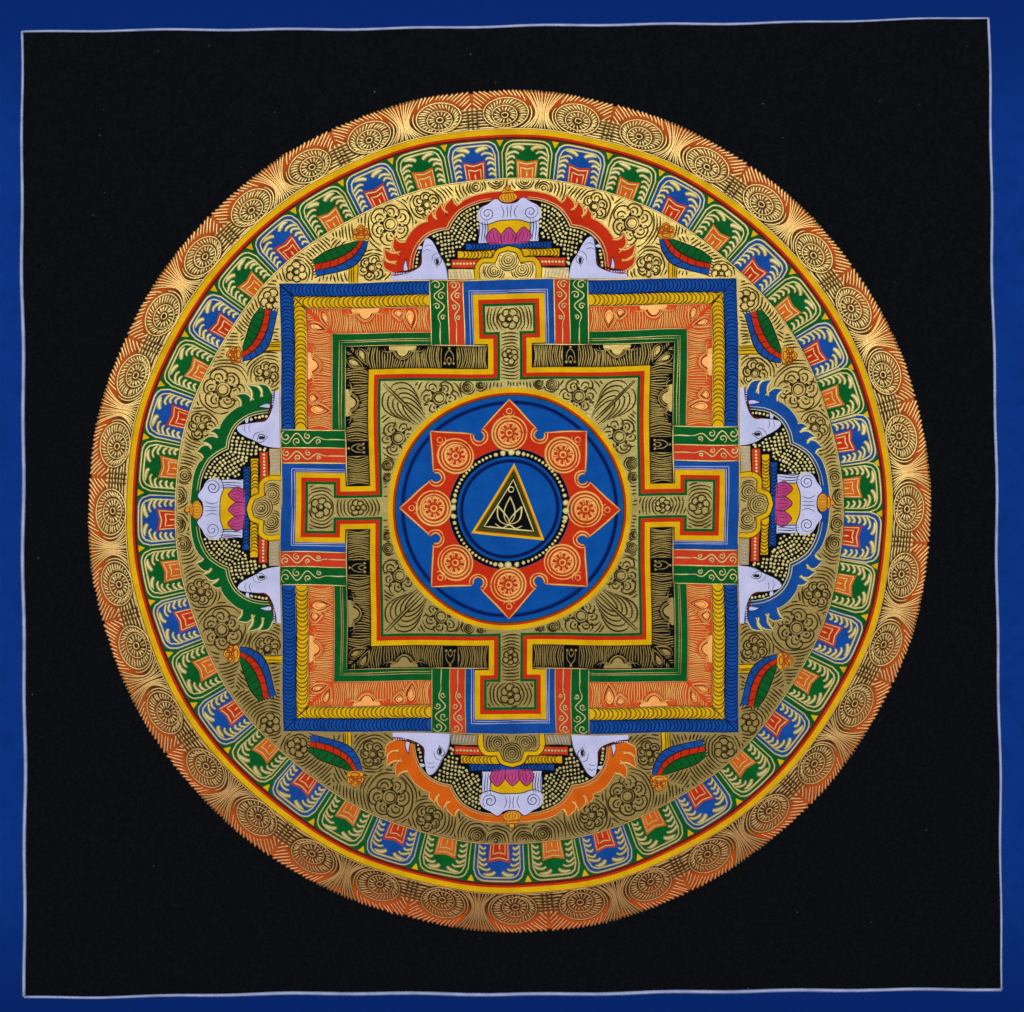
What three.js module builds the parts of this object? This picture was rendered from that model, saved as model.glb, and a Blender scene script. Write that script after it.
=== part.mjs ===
// A thangka: a mandala painting on one piece of primed cotton canvas, hung by its top edge.
// Millimetres, +Z up. The painted face looks towards -Y. The origin is the middle of the top edge.
import * as THREE from "three";

// Driving dimensions of the cut cloth
const CANVAS_WIDTH = 424;
const CANVAS_HEIGHT = 420;
const CANVAS_THICKNESS = 1.2;

// The strip along the top edge that is held flat, counted in rows of the mesh
const ROWS = 32;
const COLUMNS = 32;
const FLAT_ROWS = 2;
const FLAT_STRIP = (CANVAS_HEIGHT / ROWS) * FLAT_ROWS;

// Soft vertical waves of the hanging cloth, from left to right.
// at: place across the cloth at mid height; lean: drift across for each mm down;
// spread: half width of the wave; forward: how far it stands out at the bottom edge
const WAVES = [
  { at: -148, lean: -0.05, spread: 44, forward: 2.6 },
  { at: -62, lean: 0.04, spread: 42, forward: -1.8 },
  { at: 34, lean: -0.03, spread: 46, forward: 2.2 },
  { at: 126, lean: 0.06, spread: 42, forward: -1.9 },
];

// The two lower corners, which the stiff priming curls towards the viewer
const CORNER_CURLS = [
  { side: -1, reach: 84, forward: 5.5 },
  { side: 1, reach: 76, forward: 4.2 },
];

// How far each hand-cut edge bows out of its straight line at its middle
const EDGE_BOW = { left: -1.1, right: 0.8, bottom: -0.9 };

const smoothStep = (t) => {
  const clamped = THREE.MathUtils.clamp(t, 0, 1);
  return clamped * clamped * (3 - 2 * clamped);
};

// How far the cloth stands out towards the viewer at a place on the flat cut.
// across: from the middle; down: from the top edge
function forwardAt(across, down) {
  const freedom = smoothStep((down - FLAT_STRIP) / (CANVAS_HEIGHT - FLAT_STRIP));
  let forward = 0;
  for (const wave of WAVES) {
    const middle = wave.at + wave.lean * (down - CANVAS_HEIGHT / 2);
    const offset = (across - middle) / wave.spread;
    forward += wave.forward * freedom * Math.exp(-offset * offset);
  }
  for (const curl of CORNER_CURLS) {
    const fromSide = CANVAS_WIDTH / 2 - curl.side * across;
    const fromCorner = Math.hypot(fromSide, CANVAS_HEIGHT - down);
    const share = Math.max(0, 1 - fromCorner / curl.reach);
    forward += curl.forward * share * share;
  }
  return forward;
}

// The shift of a point on the flat cut that bows the edges, largest at an edge and none at the middle
function bowAt(across, down) {
  const halfWave = Math.sin((Math.PI * down) / CANVAS_HEIGHT);
  const side = across < 0 ? EDGE_BOW.left : EDGE_BOW.right;
  const towardSide = (2 * Math.abs(across)) / CANVAS_WIDTH;
  const acrossWave = Math.cos((Math.PI * across) / CANVAS_WIDTH);
  return {
    x: side * halfWave * towardSide,
    z: EDGE_BOW.bottom * acrossWave * (down / CANVAS_HEIGHT),
  };
}

// The hanging sheet: a thin slab of the cut size, with its points moved onto the waves
function hangingSheet() {
  const geometry = new THREE.BoxGeometry(
    CANVAS_WIDTH, CANVAS_THICKNESS, CANVAS_HEIGHT, COLUMNS, 1, ROWS,
  );
  geometry.translate(0, 0, -CANVAS_HEIGHT / 2);
  const points = geometry.getAttribute("position");
  for (let i = 0; i < points.count; i++) {
    const across = points.getX(i);
    const down = -points.getZ(i);
    const bow = bowAt(across, down);
    points.setXYZ(
      i,
      across + bow.x,
      points.getY(i) - forwardAt(across, down),
      bow.z - down,
    );
  }
  geometry.computeVertexNormals();
  return geometry;
}

const paintedCotton = new THREE.MeshStandardMaterial({
  color: 0x0d0f14,
  roughness: 0.85,
  metalness: 0,
});

const canvas = new THREE.Mesh(hangingSheet(), paintedCotton);
canvas.name = "painted_canvas";

const thangka = new THREE.Group();
thangka.add(canvas);

export default thangka;
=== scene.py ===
"""Looks of a mandala painted on a hanging cotton canvas.

Drawn sizes are millimetres on the flat cloth, from the mandala's centre, x to the right and y up.
Every colour lies on the cloth as a thin layer of paint, and every brush line dries as a low ridge.
"""

import logging
import math
from dataclasses import dataclass, field
from enum import Enum
from functools import partial
from typing import Any, Callable, Iterable, Iterator

import bmesh
import bpy
import numpy as np
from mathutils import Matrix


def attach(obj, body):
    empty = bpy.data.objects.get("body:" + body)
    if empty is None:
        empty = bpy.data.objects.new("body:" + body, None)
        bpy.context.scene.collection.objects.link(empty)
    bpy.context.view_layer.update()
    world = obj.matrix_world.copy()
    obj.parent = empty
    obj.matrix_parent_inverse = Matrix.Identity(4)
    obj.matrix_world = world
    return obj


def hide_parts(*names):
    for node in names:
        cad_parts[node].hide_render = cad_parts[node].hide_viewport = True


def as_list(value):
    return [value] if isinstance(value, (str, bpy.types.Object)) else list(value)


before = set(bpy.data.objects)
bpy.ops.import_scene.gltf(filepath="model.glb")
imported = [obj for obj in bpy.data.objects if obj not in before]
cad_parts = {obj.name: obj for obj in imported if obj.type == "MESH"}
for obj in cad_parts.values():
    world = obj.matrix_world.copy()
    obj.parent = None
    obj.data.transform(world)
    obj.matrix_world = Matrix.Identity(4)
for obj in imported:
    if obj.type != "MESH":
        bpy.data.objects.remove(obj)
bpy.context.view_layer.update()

Flat = np.ndarray
Point = tuple[float, float]
Colour = tuple[int, int, int]
Line = tuple[Point, ...]
Placing = Callable[[Flat], Flat]
Test = Callable[[Flat], np.ndarray]
Sides = tuple[Flat, Flat]
Piece = bpy.types.Object
Socket = bpy.types.NodeSocket

LOG = logging.getLogger("thangka")
MM = 0.001

# Heights of the paint layers over the cloth, and how deep each is rooted in it
GROUND_LIFT = 0.05
COLOUR_LIFT = 0.09
MOTIF_LIFT = 0.13
FRONT_LIFT = 0.17
LINE_LIFT = 0.18
LINE_RISE = 0.02
INK_RISE = 0.14
PAINT_ROOT = 0.03
# Ridge height of a brush line as a share of its width
RIDGE = 0.16
# Largest cell of a painted area, so that it follows the waves of the cloth
CELL = 4.0
# Cells round every ring, so that neighbouring rings share their points
ROUND_CELLS = 240
LEAF_POINTS = 9
COURT_CENTRE = (-0.3, 0.8)
CHART = "OFBake"


def left_of(vectors: Flat) -> Flat:
    """The vectors turned a quarter turn to their left."""
    return np.stack([-vectors[..., 1], vectors[..., 0]], axis=-1)


def unit(vectors: Flat) -> Flat:
    """The vectors at length one."""
    return vectors / np.maximum(np.linalg.norm(vectors, axis=-1, keepdims=True), 1e-9)


def smooth_step(share: Flat) -> Flat:
    """A share from 0 to 1, eased at both ends."""
    share = np.clip(share, 0.0, 1.0)
    return share * share * (3.0 - 2.0 * share)


def straight(*corners: Point, step: float = 2.0) -> Flat:
    """A line through corners.

    Args:
        corners: the corner points.
        step: the longest distance between two points of the line.

    Returns:
        The line's points.
    """
    parts = []
    for start, end in zip(corners, corners[1:]):
        count = max(2, math.ceil(math.dist(start, end) / step))
        parts.append(np.linspace(start, end, count, endpoint=False))
    return np.vstack([*parts, [corners[-1]]])


@dataclass(frozen=True)
class Oval:
    """An upright ellipse: its centre and its half axes."""

    x: float
    y: float
    wide: float
    high: float

    def at(self, turn: float, share: float = 1.0) -> Point:
        """The point at an angle in degrees and a share of the way out to the rim."""
        angle = math.radians(turn)
        return self.x + self.wide * share * math.cos(angle), self.y + self.high * share * math.sin(angle)

    def rim(self, start: float = 0.0, end: float = 360.0, share: float = 1.0, step: float = 1.0) -> Flat:
        """An arc of the ellipse.

        Args:
            start: the first angle in degrees.
            end: the last angle in degrees.
            share: the arc's size as a share of the ellipse.
            step: the rough distance between points.

        Returns:
            The arc's points.
        """
        length = math.radians(abs(end - start)) * max(self.wide, self.high) * share
        turns = np.linspace(start, end, max(7, math.ceil(length / step) + 1))
        return np.array([self.at(turn, share) for turn in turns])

    def holds(self, points: Flat, grow: float = 1.0) -> np.ndarray:
        """Which points lie inside the ellipse, or inside a larger one."""
        x, y = points.T
        return ((x - self.x) / (self.wide * grow)) ** 2 + ((y - self.y) / (self.high * grow)) ** 2 < 1


def arc(x: float, y: float, radius: float, start: float = 0.0, end: float = 360.0, step: float = 0.9) -> Flat:
    """An arc of a circle."""
    return Oval(x, y, radius, radius).rim(start, end, step=step)


def flow(*points: Point, count: int = 14) -> Flat:
    """A smooth line through a few points.

    Args:
        points: the points that the line passes.
        count: how many points the line gets.

    Returns:
        The line's points.
    """
    given = np.array(points, float)
    padded = np.vstack([2 * given[0] - given[1], given, 2 * given[-1] - given[-2]])
    place = np.linspace(0, len(given) - 1, count)
    first = np.minimum(place.astype(int), len(given) - 2)
    t = (place - first)[:, None]
    a, b, c, d = (padded[first + k] for k in range(4))
    return 0.5 * (2 * b + (c - a) * t + (2 * a - 5 * b + 4 * c - d) * t**2 + (3 * b - a - 3 * c + d) * t**3)


def spiral(x: float, y: float, radii: Point, turns: float, start: float) -> Flat:
    """A spiral from its first radius to its last.

    Args:
        x: the centre's x.
        y: the centre's y.
        radii: the first and last radius.
        turns: how often it goes round, negative for clockwise.
        start: the first angle in degrees.

    Returns:
        The spiral's points.
    """
    share = np.linspace(0, 1, max(11, round(abs(turns) * 14)))
    radius = radii[0] + (radii[1] - radii[0]) * share
    turn = math.radians(start) + 2 * math.pi * turns * share
    return np.column_stack([x + radius * np.cos(turn), y + radius * np.sin(turn)])


def beside(path: Flat, distance: float, closed: bool = False) -> Flat:
    """The path moved to its left, with mitred corners.

    Args:
        path: the points, with no repeated end where closed.
        distance: how far, negative to the right.
        closed: whether the path runs back to its start.

    Returns:
        As many points as the path has.
    """
    ahead = np.roll(path, -1, axis=0) - path
    if not closed:
        ahead[-1] = ahead[-2]
    ahead = unit(ahead)
    behind = np.roll(ahead, 1, axis=0)
    if not closed:
        behind[0] = ahead[0]
    shared = np.maximum(1 + (ahead * behind).sum(axis=1, keepdims=True), 0.5)
    return path + (left_of(ahead) + left_of(behind)) / shared * distance


def leaf(base: Point, tip: Point, width: float, bend: float = 0.0) -> Sides:
    """The two sides of a leaf or drop.

    Args:
        base: where it starts.
        tip: where it ends.
        width: its greatest width.
        bend: how far its middle bows to the left.

    Returns:
        The left side and the right side, both from base to tip.
    """
    share = np.linspace(0, 1, LEAF_POINTS)[:, None]
    start = np.array(base, float)
    axis = np.array(tip, float) - start
    normal = left_of(unit(axis))
    spine = start + axis * share + normal * bend * np.sin(np.pi * share)
    swell = normal * width / 2 * np.sin(np.pi * share**0.75)
    return spine + swell, spine - swell


def loop(sides: Sides) -> Flat:
    """The two sides of a leaf as one closed outline."""
    return np.vstack([sides[0], sides[1][::-1]])


def both_sides(right: Flat) -> Flat:
    """A line of the right half, from the axis outward, joined to its mirror image."""
    return np.vstack([(right * (-1, 1))[::-1], right[1:]])


def folded(points: Flat) -> Flat:
    """Points of the left half brought over to the right half."""
    return np.column_stack([np.abs(points[:, 0]), points[:, 1]])


def resized(outline: Flat, share: float) -> Flat:
    """An outline at a share of its size, about the mean of its points."""
    centre = outline.mean(axis=0)
    return centre + (outline - centre) * share


def unit_circle() -> Flat:
    """Points round a circle of radius one, at the corners of every ring's cells."""
    turn = np.linspace(0, 2 * math.pi, ROUND_CELLS + 1)
    return np.column_stack([np.cos(turn), np.sin(turn)])


def level_under(path: Flat, level: float) -> Flat:
    """The points straight under or over a path, at one level."""
    return np.column_stack([path[:, 0], np.full(len(path), level)])


def spun(points: Flat, quarter: int, mirrored: bool = False) -> Flat:
    """Points of the top side, mirrored or not, brought to another side by quarter turns."""
    x, y = (points * (-1, 1) if mirrored else points).T
    return np.column_stack([(x, y), (-y, x), (-x, -y), (y, -x)][quarter % 4])


def turned(points: Flat, angle: float) -> Flat:
    """Points turned anticlockwise about the mandala's centre by degrees."""
    c, s = math.cos(math.radians(angle)), math.sin(math.radians(angle))
    return points @ np.array([(c, s), (-s, c)])


def round_strip(strip: Flat, base: float, middle: float, angle: float, mirrored: bool = False) -> Flat:
    """Bends a drawing on a straight strip round the mandala's centre.

    Args:
        strip: points, along the strip and out from its base.
        base: radius of the strip's base.
        middle: radius at which lengths along the strip are true.
        angle: where the strip's start lies, in degrees.
        mirrored: whether the strip runs anticlockwise.

    Returns:
        The bent points.
    """
    turn = math.radians(angle) + (1 if mirrored else -1) * strip[:, 0] / middle
    radius = base + strip[:, 1]
    return np.column_stack([radius * np.cos(turn), radius * np.sin(turn)])


QUARTERS: tuple[Placing, ...] = tuple(partial(spun, quarter=q) for q in range(4))
EIGHTHS: tuple[Placing, ...] = tuple(
    partial(spun, quarter=q, mirrored=m) for q in range(4) for m in (False, True)
)


def within(points: Flat, outline: Flat) -> np.ndarray:
    """Which points lie inside a closed outline.

    Args:
        points: the points to test.
        outline: the outline's corners.

    Returns:
        One truth value for each point.
    """
    x, y = points[:, :1], points[:, 1:]
    x0, y0 = outline.T
    x1, y1 = np.roll(outline, -1, axis=0).T
    slope = (x1 - x0) / np.where(np.abs(y1 - y0) < 1e-9, 1e-9, y1 - y0)
    crossed = ((y0 > y) != (y1 > y)) & (x < x0 + slope * (y - y0))
    return crossed.sum(axis=1) % 2 == 1


def runs(path: Flat, keep: np.ndarray) -> Iterator[Flat]:
    """The stretches of a path that are kept.

    Args:
        path: the points.
        keep: which points stay.

    Returns:
        Each stretch of three points or more.
    """
    edges = np.flatnonzero(np.diff(np.concatenate([[0], keep.astype(int), [0]])))
    for start, end in zip(edges[::2], edges[1::2]):
        if end - start >= 3:
            yield path[start:end]


@dataclass(frozen=True)
class Wave:
    """A soft vertical wave: place across, drift for each mm down, half width, reach at the bottom."""

    at: float
    lean: float
    spread: float
    forward: float


@dataclass(frozen=True)
class CornerCurl:
    """A lower corner that curls towards the viewer."""

    side: int
    reach: float
    forward: float


@dataclass(frozen=True)
class Cloth:
    """The cut canvas and the way it hangs, and where the mandala's centre lies on it."""

    width: float = 424.0
    height: float = 420.0
    thickness: float = 1.2
    flat_strip: float = 26.25
    bow_left: float = -1.1
    bow_right: float = 0.8
    bow_bottom: float = -0.9
    centre_across: float = -0.8
    centre_down: float = 211.5
    waves: tuple[Wave, ...] = (
        Wave(-148, -0.05, 44, 2.6),
        Wave(-62, 0.04, 42, -1.8),
        Wave(34, -0.03, 46, 2.2),
        Wave(126, 0.06, 42, -1.9),
    )
    curls: tuple[CornerCurl, ...] = (CornerCurl(-1, 84, 5.5), CornerCurl(1, 76, 4.2))

    @property
    def left(self) -> float:
        """The left edge, from the mandala's centre."""
        return -self.width / 2 - self.centre_across

    @property
    def right(self) -> float:
        """The right edge, from the mandala's centre."""
        return self.left + self.width

    @property
    def bottom(self) -> float:
        """The bottom edge, from the mandala's centre."""
        return self.centre_down - self.height

    @property
    def top(self) -> float:
        """The top edge, from the mandala's centre."""
        return self.bottom + self.height

    def forward(self, across: Flat, down: Flat) -> Flat:
        """How far the cloth stands out towards the viewer.

        Args:
            across: from the middle of the cloth.
            down: from its top edge.

        Returns:
            The distances.
        """
        freedom = smooth_step((down - self.flat_strip) / (self.height - self.flat_strip))
        out = np.zeros_like(across)
        for wave in self.waves:
            middle = wave.at + wave.lean * (down - self.height / 2)
            out += wave.forward * freedom * np.exp(-(((across - middle) / wave.spread) ** 2))
        for curl in self.curls:
            corner = np.hypot(self.width / 2 - curl.side * across, self.height - down)
            out += curl.forward * np.maximum(0.0, 1 - corner / curl.reach) ** 2
        return out

    def hang(self, points: np.ndarray) -> np.ndarray:
        """Takes drawn points onto the hanging cloth.

        Args:
            points: x, y and the lift over the painted face, in millimetres.

        Returns:
            The places in metres.
        """
        across = points[:, 0] + self.centre_across
        down = self.centre_down - points[:, 1]
        side = np.where(across < 0, self.bow_left, self.bow_right)
        bow_x = side * np.sin(np.pi * down / self.height) * 2 * np.abs(across) / self.width
        bow_z = self.bow_bottom * np.cos(np.pi * across / self.width) * down / self.height
        out = self.forward(across, down) + self.thickness / 2 + points[:, 2]
        return np.column_stack([across + bow_x, -out, bow_z - down]) * MM


@dataclass(frozen=True)
class CornerDrift:
    """How far a corner of the painted palace lies from its true place."""

    side: int
    level: int
    right: float
    up: float


@dataclass(frozen=True)
class Hand:
    """The unevenness of a hand-painted drawing."""

    half: float = 91.2
    corners: tuple[CornerDrift, ...] = (
        CornerDrift(-1, 1, -0.2, -0.6),
        CornerDrift(1, 1, -0.5, 1.9),
        CornerDrift(1, -1, -0.2, 2.7),
        CornerDrift(-1, -1, 0.9, 2.9),
    )
    waver: float = 0.22
    sway: float = 0.08

    def drift(self, points: Flat) -> Flat:
        """How far points of the palace lie from their true places.

        Args:
            points: the true places.

        Returns:
            The shifts.
        """
        u, v = np.clip(points / self.half, -1.35, 1.35).T
        shift = np.zeros_like(points)
        for corner in self.corners:
            share = (1 + corner.side * u) * (1 + corner.level * v) / 4
            shift += share[:, None] * np.array([corner.right, corner.up])
        return shift

    def unsteady(self, points: Flat) -> Flat:
        """A slow waver over the whole drawing.

        Args:
            points: the places.

        Returns:
            The shifts.
        """
        x, y = points.T
        across = np.sin(y / 9.0 + 0.6) + np.sin(x / 15.0 + y / 21.0)
        up = np.sin(x / 8.0) + np.sin(y / 13.0 - x / 25.0)
        return self.waver * np.column_stack([across, up])


CLOTH = Cloth()
HAND = Hand()


def add_object(name: str, data: bpy.types.ID) -> Piece:
    """Adds an object to the scene.

    Args:
        name: its name.
        data: its mesh, camera or light.

    Returns:
        The object.
    """
    made = bpy.data.objects.new(name, data)
    bpy.context.scene.collection.objects.link(made)
    return made


def mesh_of(name: str, shape: bmesh.types.BMesh) -> bpy.types.Mesh:
    """Turns a shape into a mesh and lets the shape go.

    Args:
        name: the mesh's name.
        shape: the shape.

    Returns:
        The mesh.
    """
    made = bpy.data.meshes.new(name)
    shape.to_mesh(made)
    shape.free()
    return made


@dataclass
class NodeDesk:
    """Adds shader nodes to one material."""

    material: bpy.types.Material

    def __post_init__(self) -> None:
        """Starts with an empty node tree."""
        self.material.use_nodes = True
        self.tree = self.material.node_tree
        self.tree.nodes.clear()

    def add(self, kind: str, inputs: dict[Any, Any] | None = None, **settings: Any) -> bpy.types.Node:
        """Adds one node.

        Args:
            kind: the node's type.
            inputs: each input's value, or the output that feeds it.
            settings: the node's own properties.

        Returns:
            The node.
        """
        node = self.tree.nodes.new(kind)
        for name, value in settings.items():
            setattr(node, name, value)
        for name, value in (inputs or {}).items():
            if isinstance(value, Socket):
                self.tree.links.new(value, node.inputs[name])
            else:
                node.inputs[name].default_value = value
        return node

    def span(self, value: Socket, source: Point, target: Point) -> Socket:
        """Maps a value from one range to another, clamped."""
        ranges = {"Value": value, 1: source[0], 2: source[1], 3: target[0], 4: target[1]}
        return self.add("ShaderNodeMapRange", ranges).outputs[0]

    def math(self, operation: str, first: Any, second: Any) -> Socket:
        """Joins two values."""
        return self.add("ShaderNodeMath", {0: first, 1: second}, operation=operation).outputs[0]

    def mix(self, share: Any, first: Any, second: Any) -> Socket:
        """Mixes two colours."""
        return self.add("ShaderNodeMix", {0: share, 6: first, 7: second}, data_type="RGBA").outputs[2]

    def noise(self, place: Any, scale: tuple[float, float, float], detail: float = 2.0) -> Any:
        """Noise with its own scale on each axis, for each metre."""
        at = self.add("ShaderNodeMapping", {"Vector": place, "Scale": scale}).outputs[0]
        return self.add("ShaderNodeTexNoise", {"Vector": at, "Scale": 1.0, "Detail": detail}).outputs[0]

    def coat(self, surface: dict[str, Any]) -> None:
        """Gives the material its surface."""
        shader = self.add("ShaderNodeBsdfPrincipled", surface)
        self.add("ShaderNodeOutputMaterial", {"Surface": shader.outputs[0]})


def linear(colour: Colour) -> tuple[float, float, float, float]:
    """A screen colour as the linear colour of a shader."""
    parts = [c / 255 for c in colour]
    return (*[p / 12.92 if p <= 0.04045 else ((p + 0.055) / 1.055) ** 2.4 for p in parts], 1.0)


# Values of the noise between which paint thins, threads wear through, roughness goes and lint shows
CLOUD_SPAN, THREAD_SPAN = (0.38, 0.66), (0.54, 0.7)
ROUGH_SPAN, LINT_SPAN = (0.4, 0.7), (0.5, 0.62)
# How far paint thins and wears, and how far roughness goes either way
CLOUD_SHARE, THREAD_SHARE, ROUGH_SPREAD = 0.85, 0.6, 0.08
# Threads for each metre across and along them, and patches and flecks of lint
THREAD_FINE, THREAD_LONG, LINT_PATCHES, LINT_CELLS = 1900.0, 260.0, 33.0, 130.0
THREAD_DEPTH = 0.25 * MM
LINT_SIZE = (0.03, 0.05)
LINT_COLOUR = (150, 156, 168)


@dataclass(frozen=True)
class Pigment:
    """A paint.

    It has a colour, a tone that it thins to, a colour that it is washed towards, and a darker colour that
    is painted low on the cloth as shade, where it catches less of the lights, between two heights in metres.
    """

    name: str
    colour: Colour
    shade: Colour
    wash: Colour | None = None
    rough: float = 0.8
    metal: float = 0.0
    gloss: float = 0.03
    weave: float = 0.35
    lint: float = 0.0
    cloud: float = 140.0
    # The darker colour painted low on the cloth as shade, and the heights in metres between which it comes in
    low: Colour | None = None
    shade_heights: Point = (-0.19, -0.38)

    def threads(self, desk: NodeDesk, place: Socket) -> Socket:
        """The cotton's threads as short dashes along and across."""
        along = desk.noise(place, (THREAD_LONG, THREAD_LONG, THREAD_FINE))
        return desk.math("MAXIMUM", along, desk.noise(place, (THREAD_FINE, THREAD_LONG, THREAD_LONG)))

    def tone(self, desk: NodeDesk, place: Socket, threads: Socket) -> Any:
        """The paint's colour: cloudy, thin on the threads, washed over, with painted shade low down, with
        lint.

        Args:
            desk: where the nodes go.
            place: the place on the cloth.
            threads: the cotton's threads.

        Returns:
            The colour's output.
        """
        clouds = desk.noise(place, (self.cloud, self.cloud, self.cloud), 5.0)
        thin = desk.span(clouds, CLOUD_SPAN, (0.0, CLOUD_SHARE))
        worn = desk.span(threads, THREAD_SPAN, (0.0, THREAD_SHARE))
        colour = desk.mix(desk.math("MAXIMUM", thin, worn), linear(self.colour), linear(self.shade))
        if self.wash is not None:
            washed = desk.add("ShaderNodeAttribute", attribute_name="wash").outputs["Fac"]
            colour = desk.mix(washed, colour, linear(self.wash))
        # Painted shade: darker low on the cloth, where the paint reflects less of the lights
        if self.low is not None:
            height = desk.add("ShaderNodeSeparateXYZ", {"Vector": place}).outputs["Z"]
            colour = desk.mix(desk.span(height, self.shade_heights, (0.0, 1.0)), colour, linear(self.low))
        if self.lint:
            grid = {"Vector": place, "Scale": LINT_CELLS}
            cells = desk.add("ShaderNodeTexVoronoi", grid).outputs["Distance"]
            patches = desk.noise(place, (LINT_PATCHES, LINT_PATCHES, LINT_PATCHES))
            rare = desk.span(patches, LINT_SPAN, (0.0, 1.0))
            seen = desk.math("MULTIPLY", rare, desk.span(cells, LINT_SIZE, (self.lint, 0.0)))
            colour = desk.mix(seen, colour, linear(LINT_COLOUR))
        return colour

    def material(self) -> bpy.types.Material:
        """The paint's material, made once.

        Returns:
            The material.
        """
        made = bpy.data.materials.get(self.name)
        if made is not None:
            return made
        made = bpy.data.materials.new(self.name)
        desk = NodeDesk(made)
        place = desk.add("ShaderNodeTexCoord").outputs["Object"]
        threads = self.threads(desk, place)
        relief = {"Height": threads, "Strength": self.weave, "Distance": THREAD_DEPTH}
        spread = (self.rough - ROUGH_SPREAD, self.rough + ROUGH_SPREAD)
        desk.coat({
            "Base Color": self.tone(desk, place, threads),
            "Roughness": desk.span(threads, ROUGH_SPAN, spread),
            "Metallic": self.metal,
            "Specular IOR Level": self.gloss,
            "Normal": desk.add("ShaderNodeBump", relief).outputs[0],
        })
        return made


class Paint(Enum):
    """The paints on the canvas."""

    BLACK = Pigment("black_ground", (7, 9, 11), (14, 16, 20), gloss=0.02, rough=0.9, lint=0.22, cloud=900.0)
    COTTON = Pigment("raw_cotton", (212, 202, 182), (200, 189, 166), weave=0.8, rough=0.9)
    BORDER = Pigment("border_blue", (8, 49, 124), (6, 42, 112), wash=(4, 35, 102))
    CHALK = Pigment("chalk_line", (160, 170, 206), (128, 140, 182))
    # Each low colour below is painted shade: the gold, cream and umber paints darker low on the cloth
    GOLD = Pigment(
        "gold_line", (226, 199, 126), (200, 168, 98), (222, 156, 84), 0.4, 0.5, 0.3, low=(162, 118, 71)
    )
    FLARE = Pigment("feather_gold", (236, 176, 106), (218, 158, 92), None, 0.4, 0.5, 0.3, low=(206, 123, 72))
    KHAKI = Pigment(
        "gold_ground", (174, 152, 82), (147, 124, 62), None, 0.4, 0.5, 0.3,
        low=(134, 113, 60), shade_heights=(-0.08, -0.26),
    )
    BRONZE = Pigment("court_gold", (143, 130, 74), (122, 108, 55), None, 0.4, 0.5, 0.3, low=(122, 101, 51))
    CREAM = Pigment("cream_line", (218, 206, 140), (196, 178, 108), None, 0.5, 0.15, 0.2, low=(172, 156, 100))
    PEACH = Pigment("peach_gold", (230, 164, 88), (216, 144, 68), None, 0.5, 0.2, 0.2)
    AMBER = Pigment("amber_gold", (206, 154, 42), (186, 128, 32))
    UMBER = Pigment("umber_shade", (120, 98, 46), (104, 84, 40), None, low=(84, 67, 33))
    INK = Pigment("dark_line", (34, 26, 16), (46, 36, 22))
    NIGHT = Pigment("deep_blue_line", (8, 20, 54), (12, 30, 70))
    RUST = Pigment("rust_line", (150, 42, 18), (176, 66, 30))
    EMBER = Pigment("ember_ground", (36, 23, 9), (52, 33, 14), wash=(186, 76, 20))
    FLAME = Pigment("flame_ground", (196, 58, 22), (206, 76, 30))
    YELLOW = Pigment("yellow_paint", (212, 166, 12), (190, 144, 8))
    RED = Pigment("red_paint", (186, 44, 16), (170, 35, 13))
    MAROON = Pigment("maroon_paint", (92, 30, 20), (70, 24, 18))
    OLIVE = Pigment("olive_paint", (58, 66, 24), (44, 54, 18))
    GREEN = Pigment("green_paint", (8, 86, 35), (4, 72, 28))
    BLUE = Pigment("blue_paint", (20, 71, 148), (14, 59, 126))
    DISC = Pigment("disc_blue", (11, 75, 150), (8, 64, 136))
    ORANGE = Pigment("orange_paint", (202, 92, 17), (186, 79, 14))
    CORAL = Pigment("coral_paint", (192, 56, 30), (178, 46, 24))
    PINK = Pigment("pink_paint", (178, 68, 124), (158, 52, 106))
    WHITE = Pigment("cloud_white", (188, 188, 220), (170, 172, 206))


@dataclass
class Tool:
    """One layer of paint: its piece's name, its height, and whether it is askew with the palace.

    Every drawing on it goes through the tool's placing first.
    """

    MARGIN = 0.01

    name: str
    lift: float
    drifts: bool = False
    place: Placing = np.asarray
    paints: dict[Paint, int] = field(default_factory=dict)

    def slot_of(self, paint: Paint) -> int:
        """The material slot of a paint, added at its first use."""
        return self.paints.setdefault(paint, len(self.paints))

    def hang(self, mesh: bpy.types.Mesh) -> Piece:
        """Hangs the flat mesh on the cloth and dresses it.

        Args:
            mesh: the mesh, drawn flat in millimetres.

        Returns:
            The piece.
        """
        for paint in self.paints:
            mesh.materials.append(paint.value.material())
        flat = np.zeros(len(mesh.vertices) * 3)
        mesh.vertices.foreach_get("co", flat)
        flat = flat.reshape(-1, 3)
        drawn = flat[:, :2]
        if self.drifts:
            drawn += HAND.drift(drawn)
        drawn += HAND.unsteady(drawn)
        np.clip(drawn, (CLOTH.left, CLOTH.bottom), (CLOTH.right, CLOTH.top), out=drawn)
        mesh.vertices.foreach_set("co", CLOTH.hang(flat).ravel())
        low, high = drawn.min(axis=0), drawn.max(axis=0)
        corners = np.zeros(len(mesh.loops), np.int32)
        mesh.loops.foreach_get("vertex_index", corners)
        chart = ((drawn - low) / (high - low).max() * (1 - 2 * self.MARGIN) + self.MARGIN)[corners]
        mesh.uv_layers.new(name=CHART).data.foreach_set("uv", chart.ravel())
        mesh.update()
        piece = add_object(self.name, mesh)
        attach(piece, "root")
        LOG.info("%s: %d faces", self.name, len(mesh.polygons))
        return piece


def placed(placings: Iterable[Placing], *tools: Tool) -> Iterator[None]:
    """Sets tools to one placing after the other.

    Args:
        placings: the placings.
        tools: the tools.

    Returns:
        Nothing, once for each placing.
    """
    for placing in placings:
        for tool in tools:
            tool.place = placing
        yield
    for tool in tools:
        tool.place = np.asarray


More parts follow.
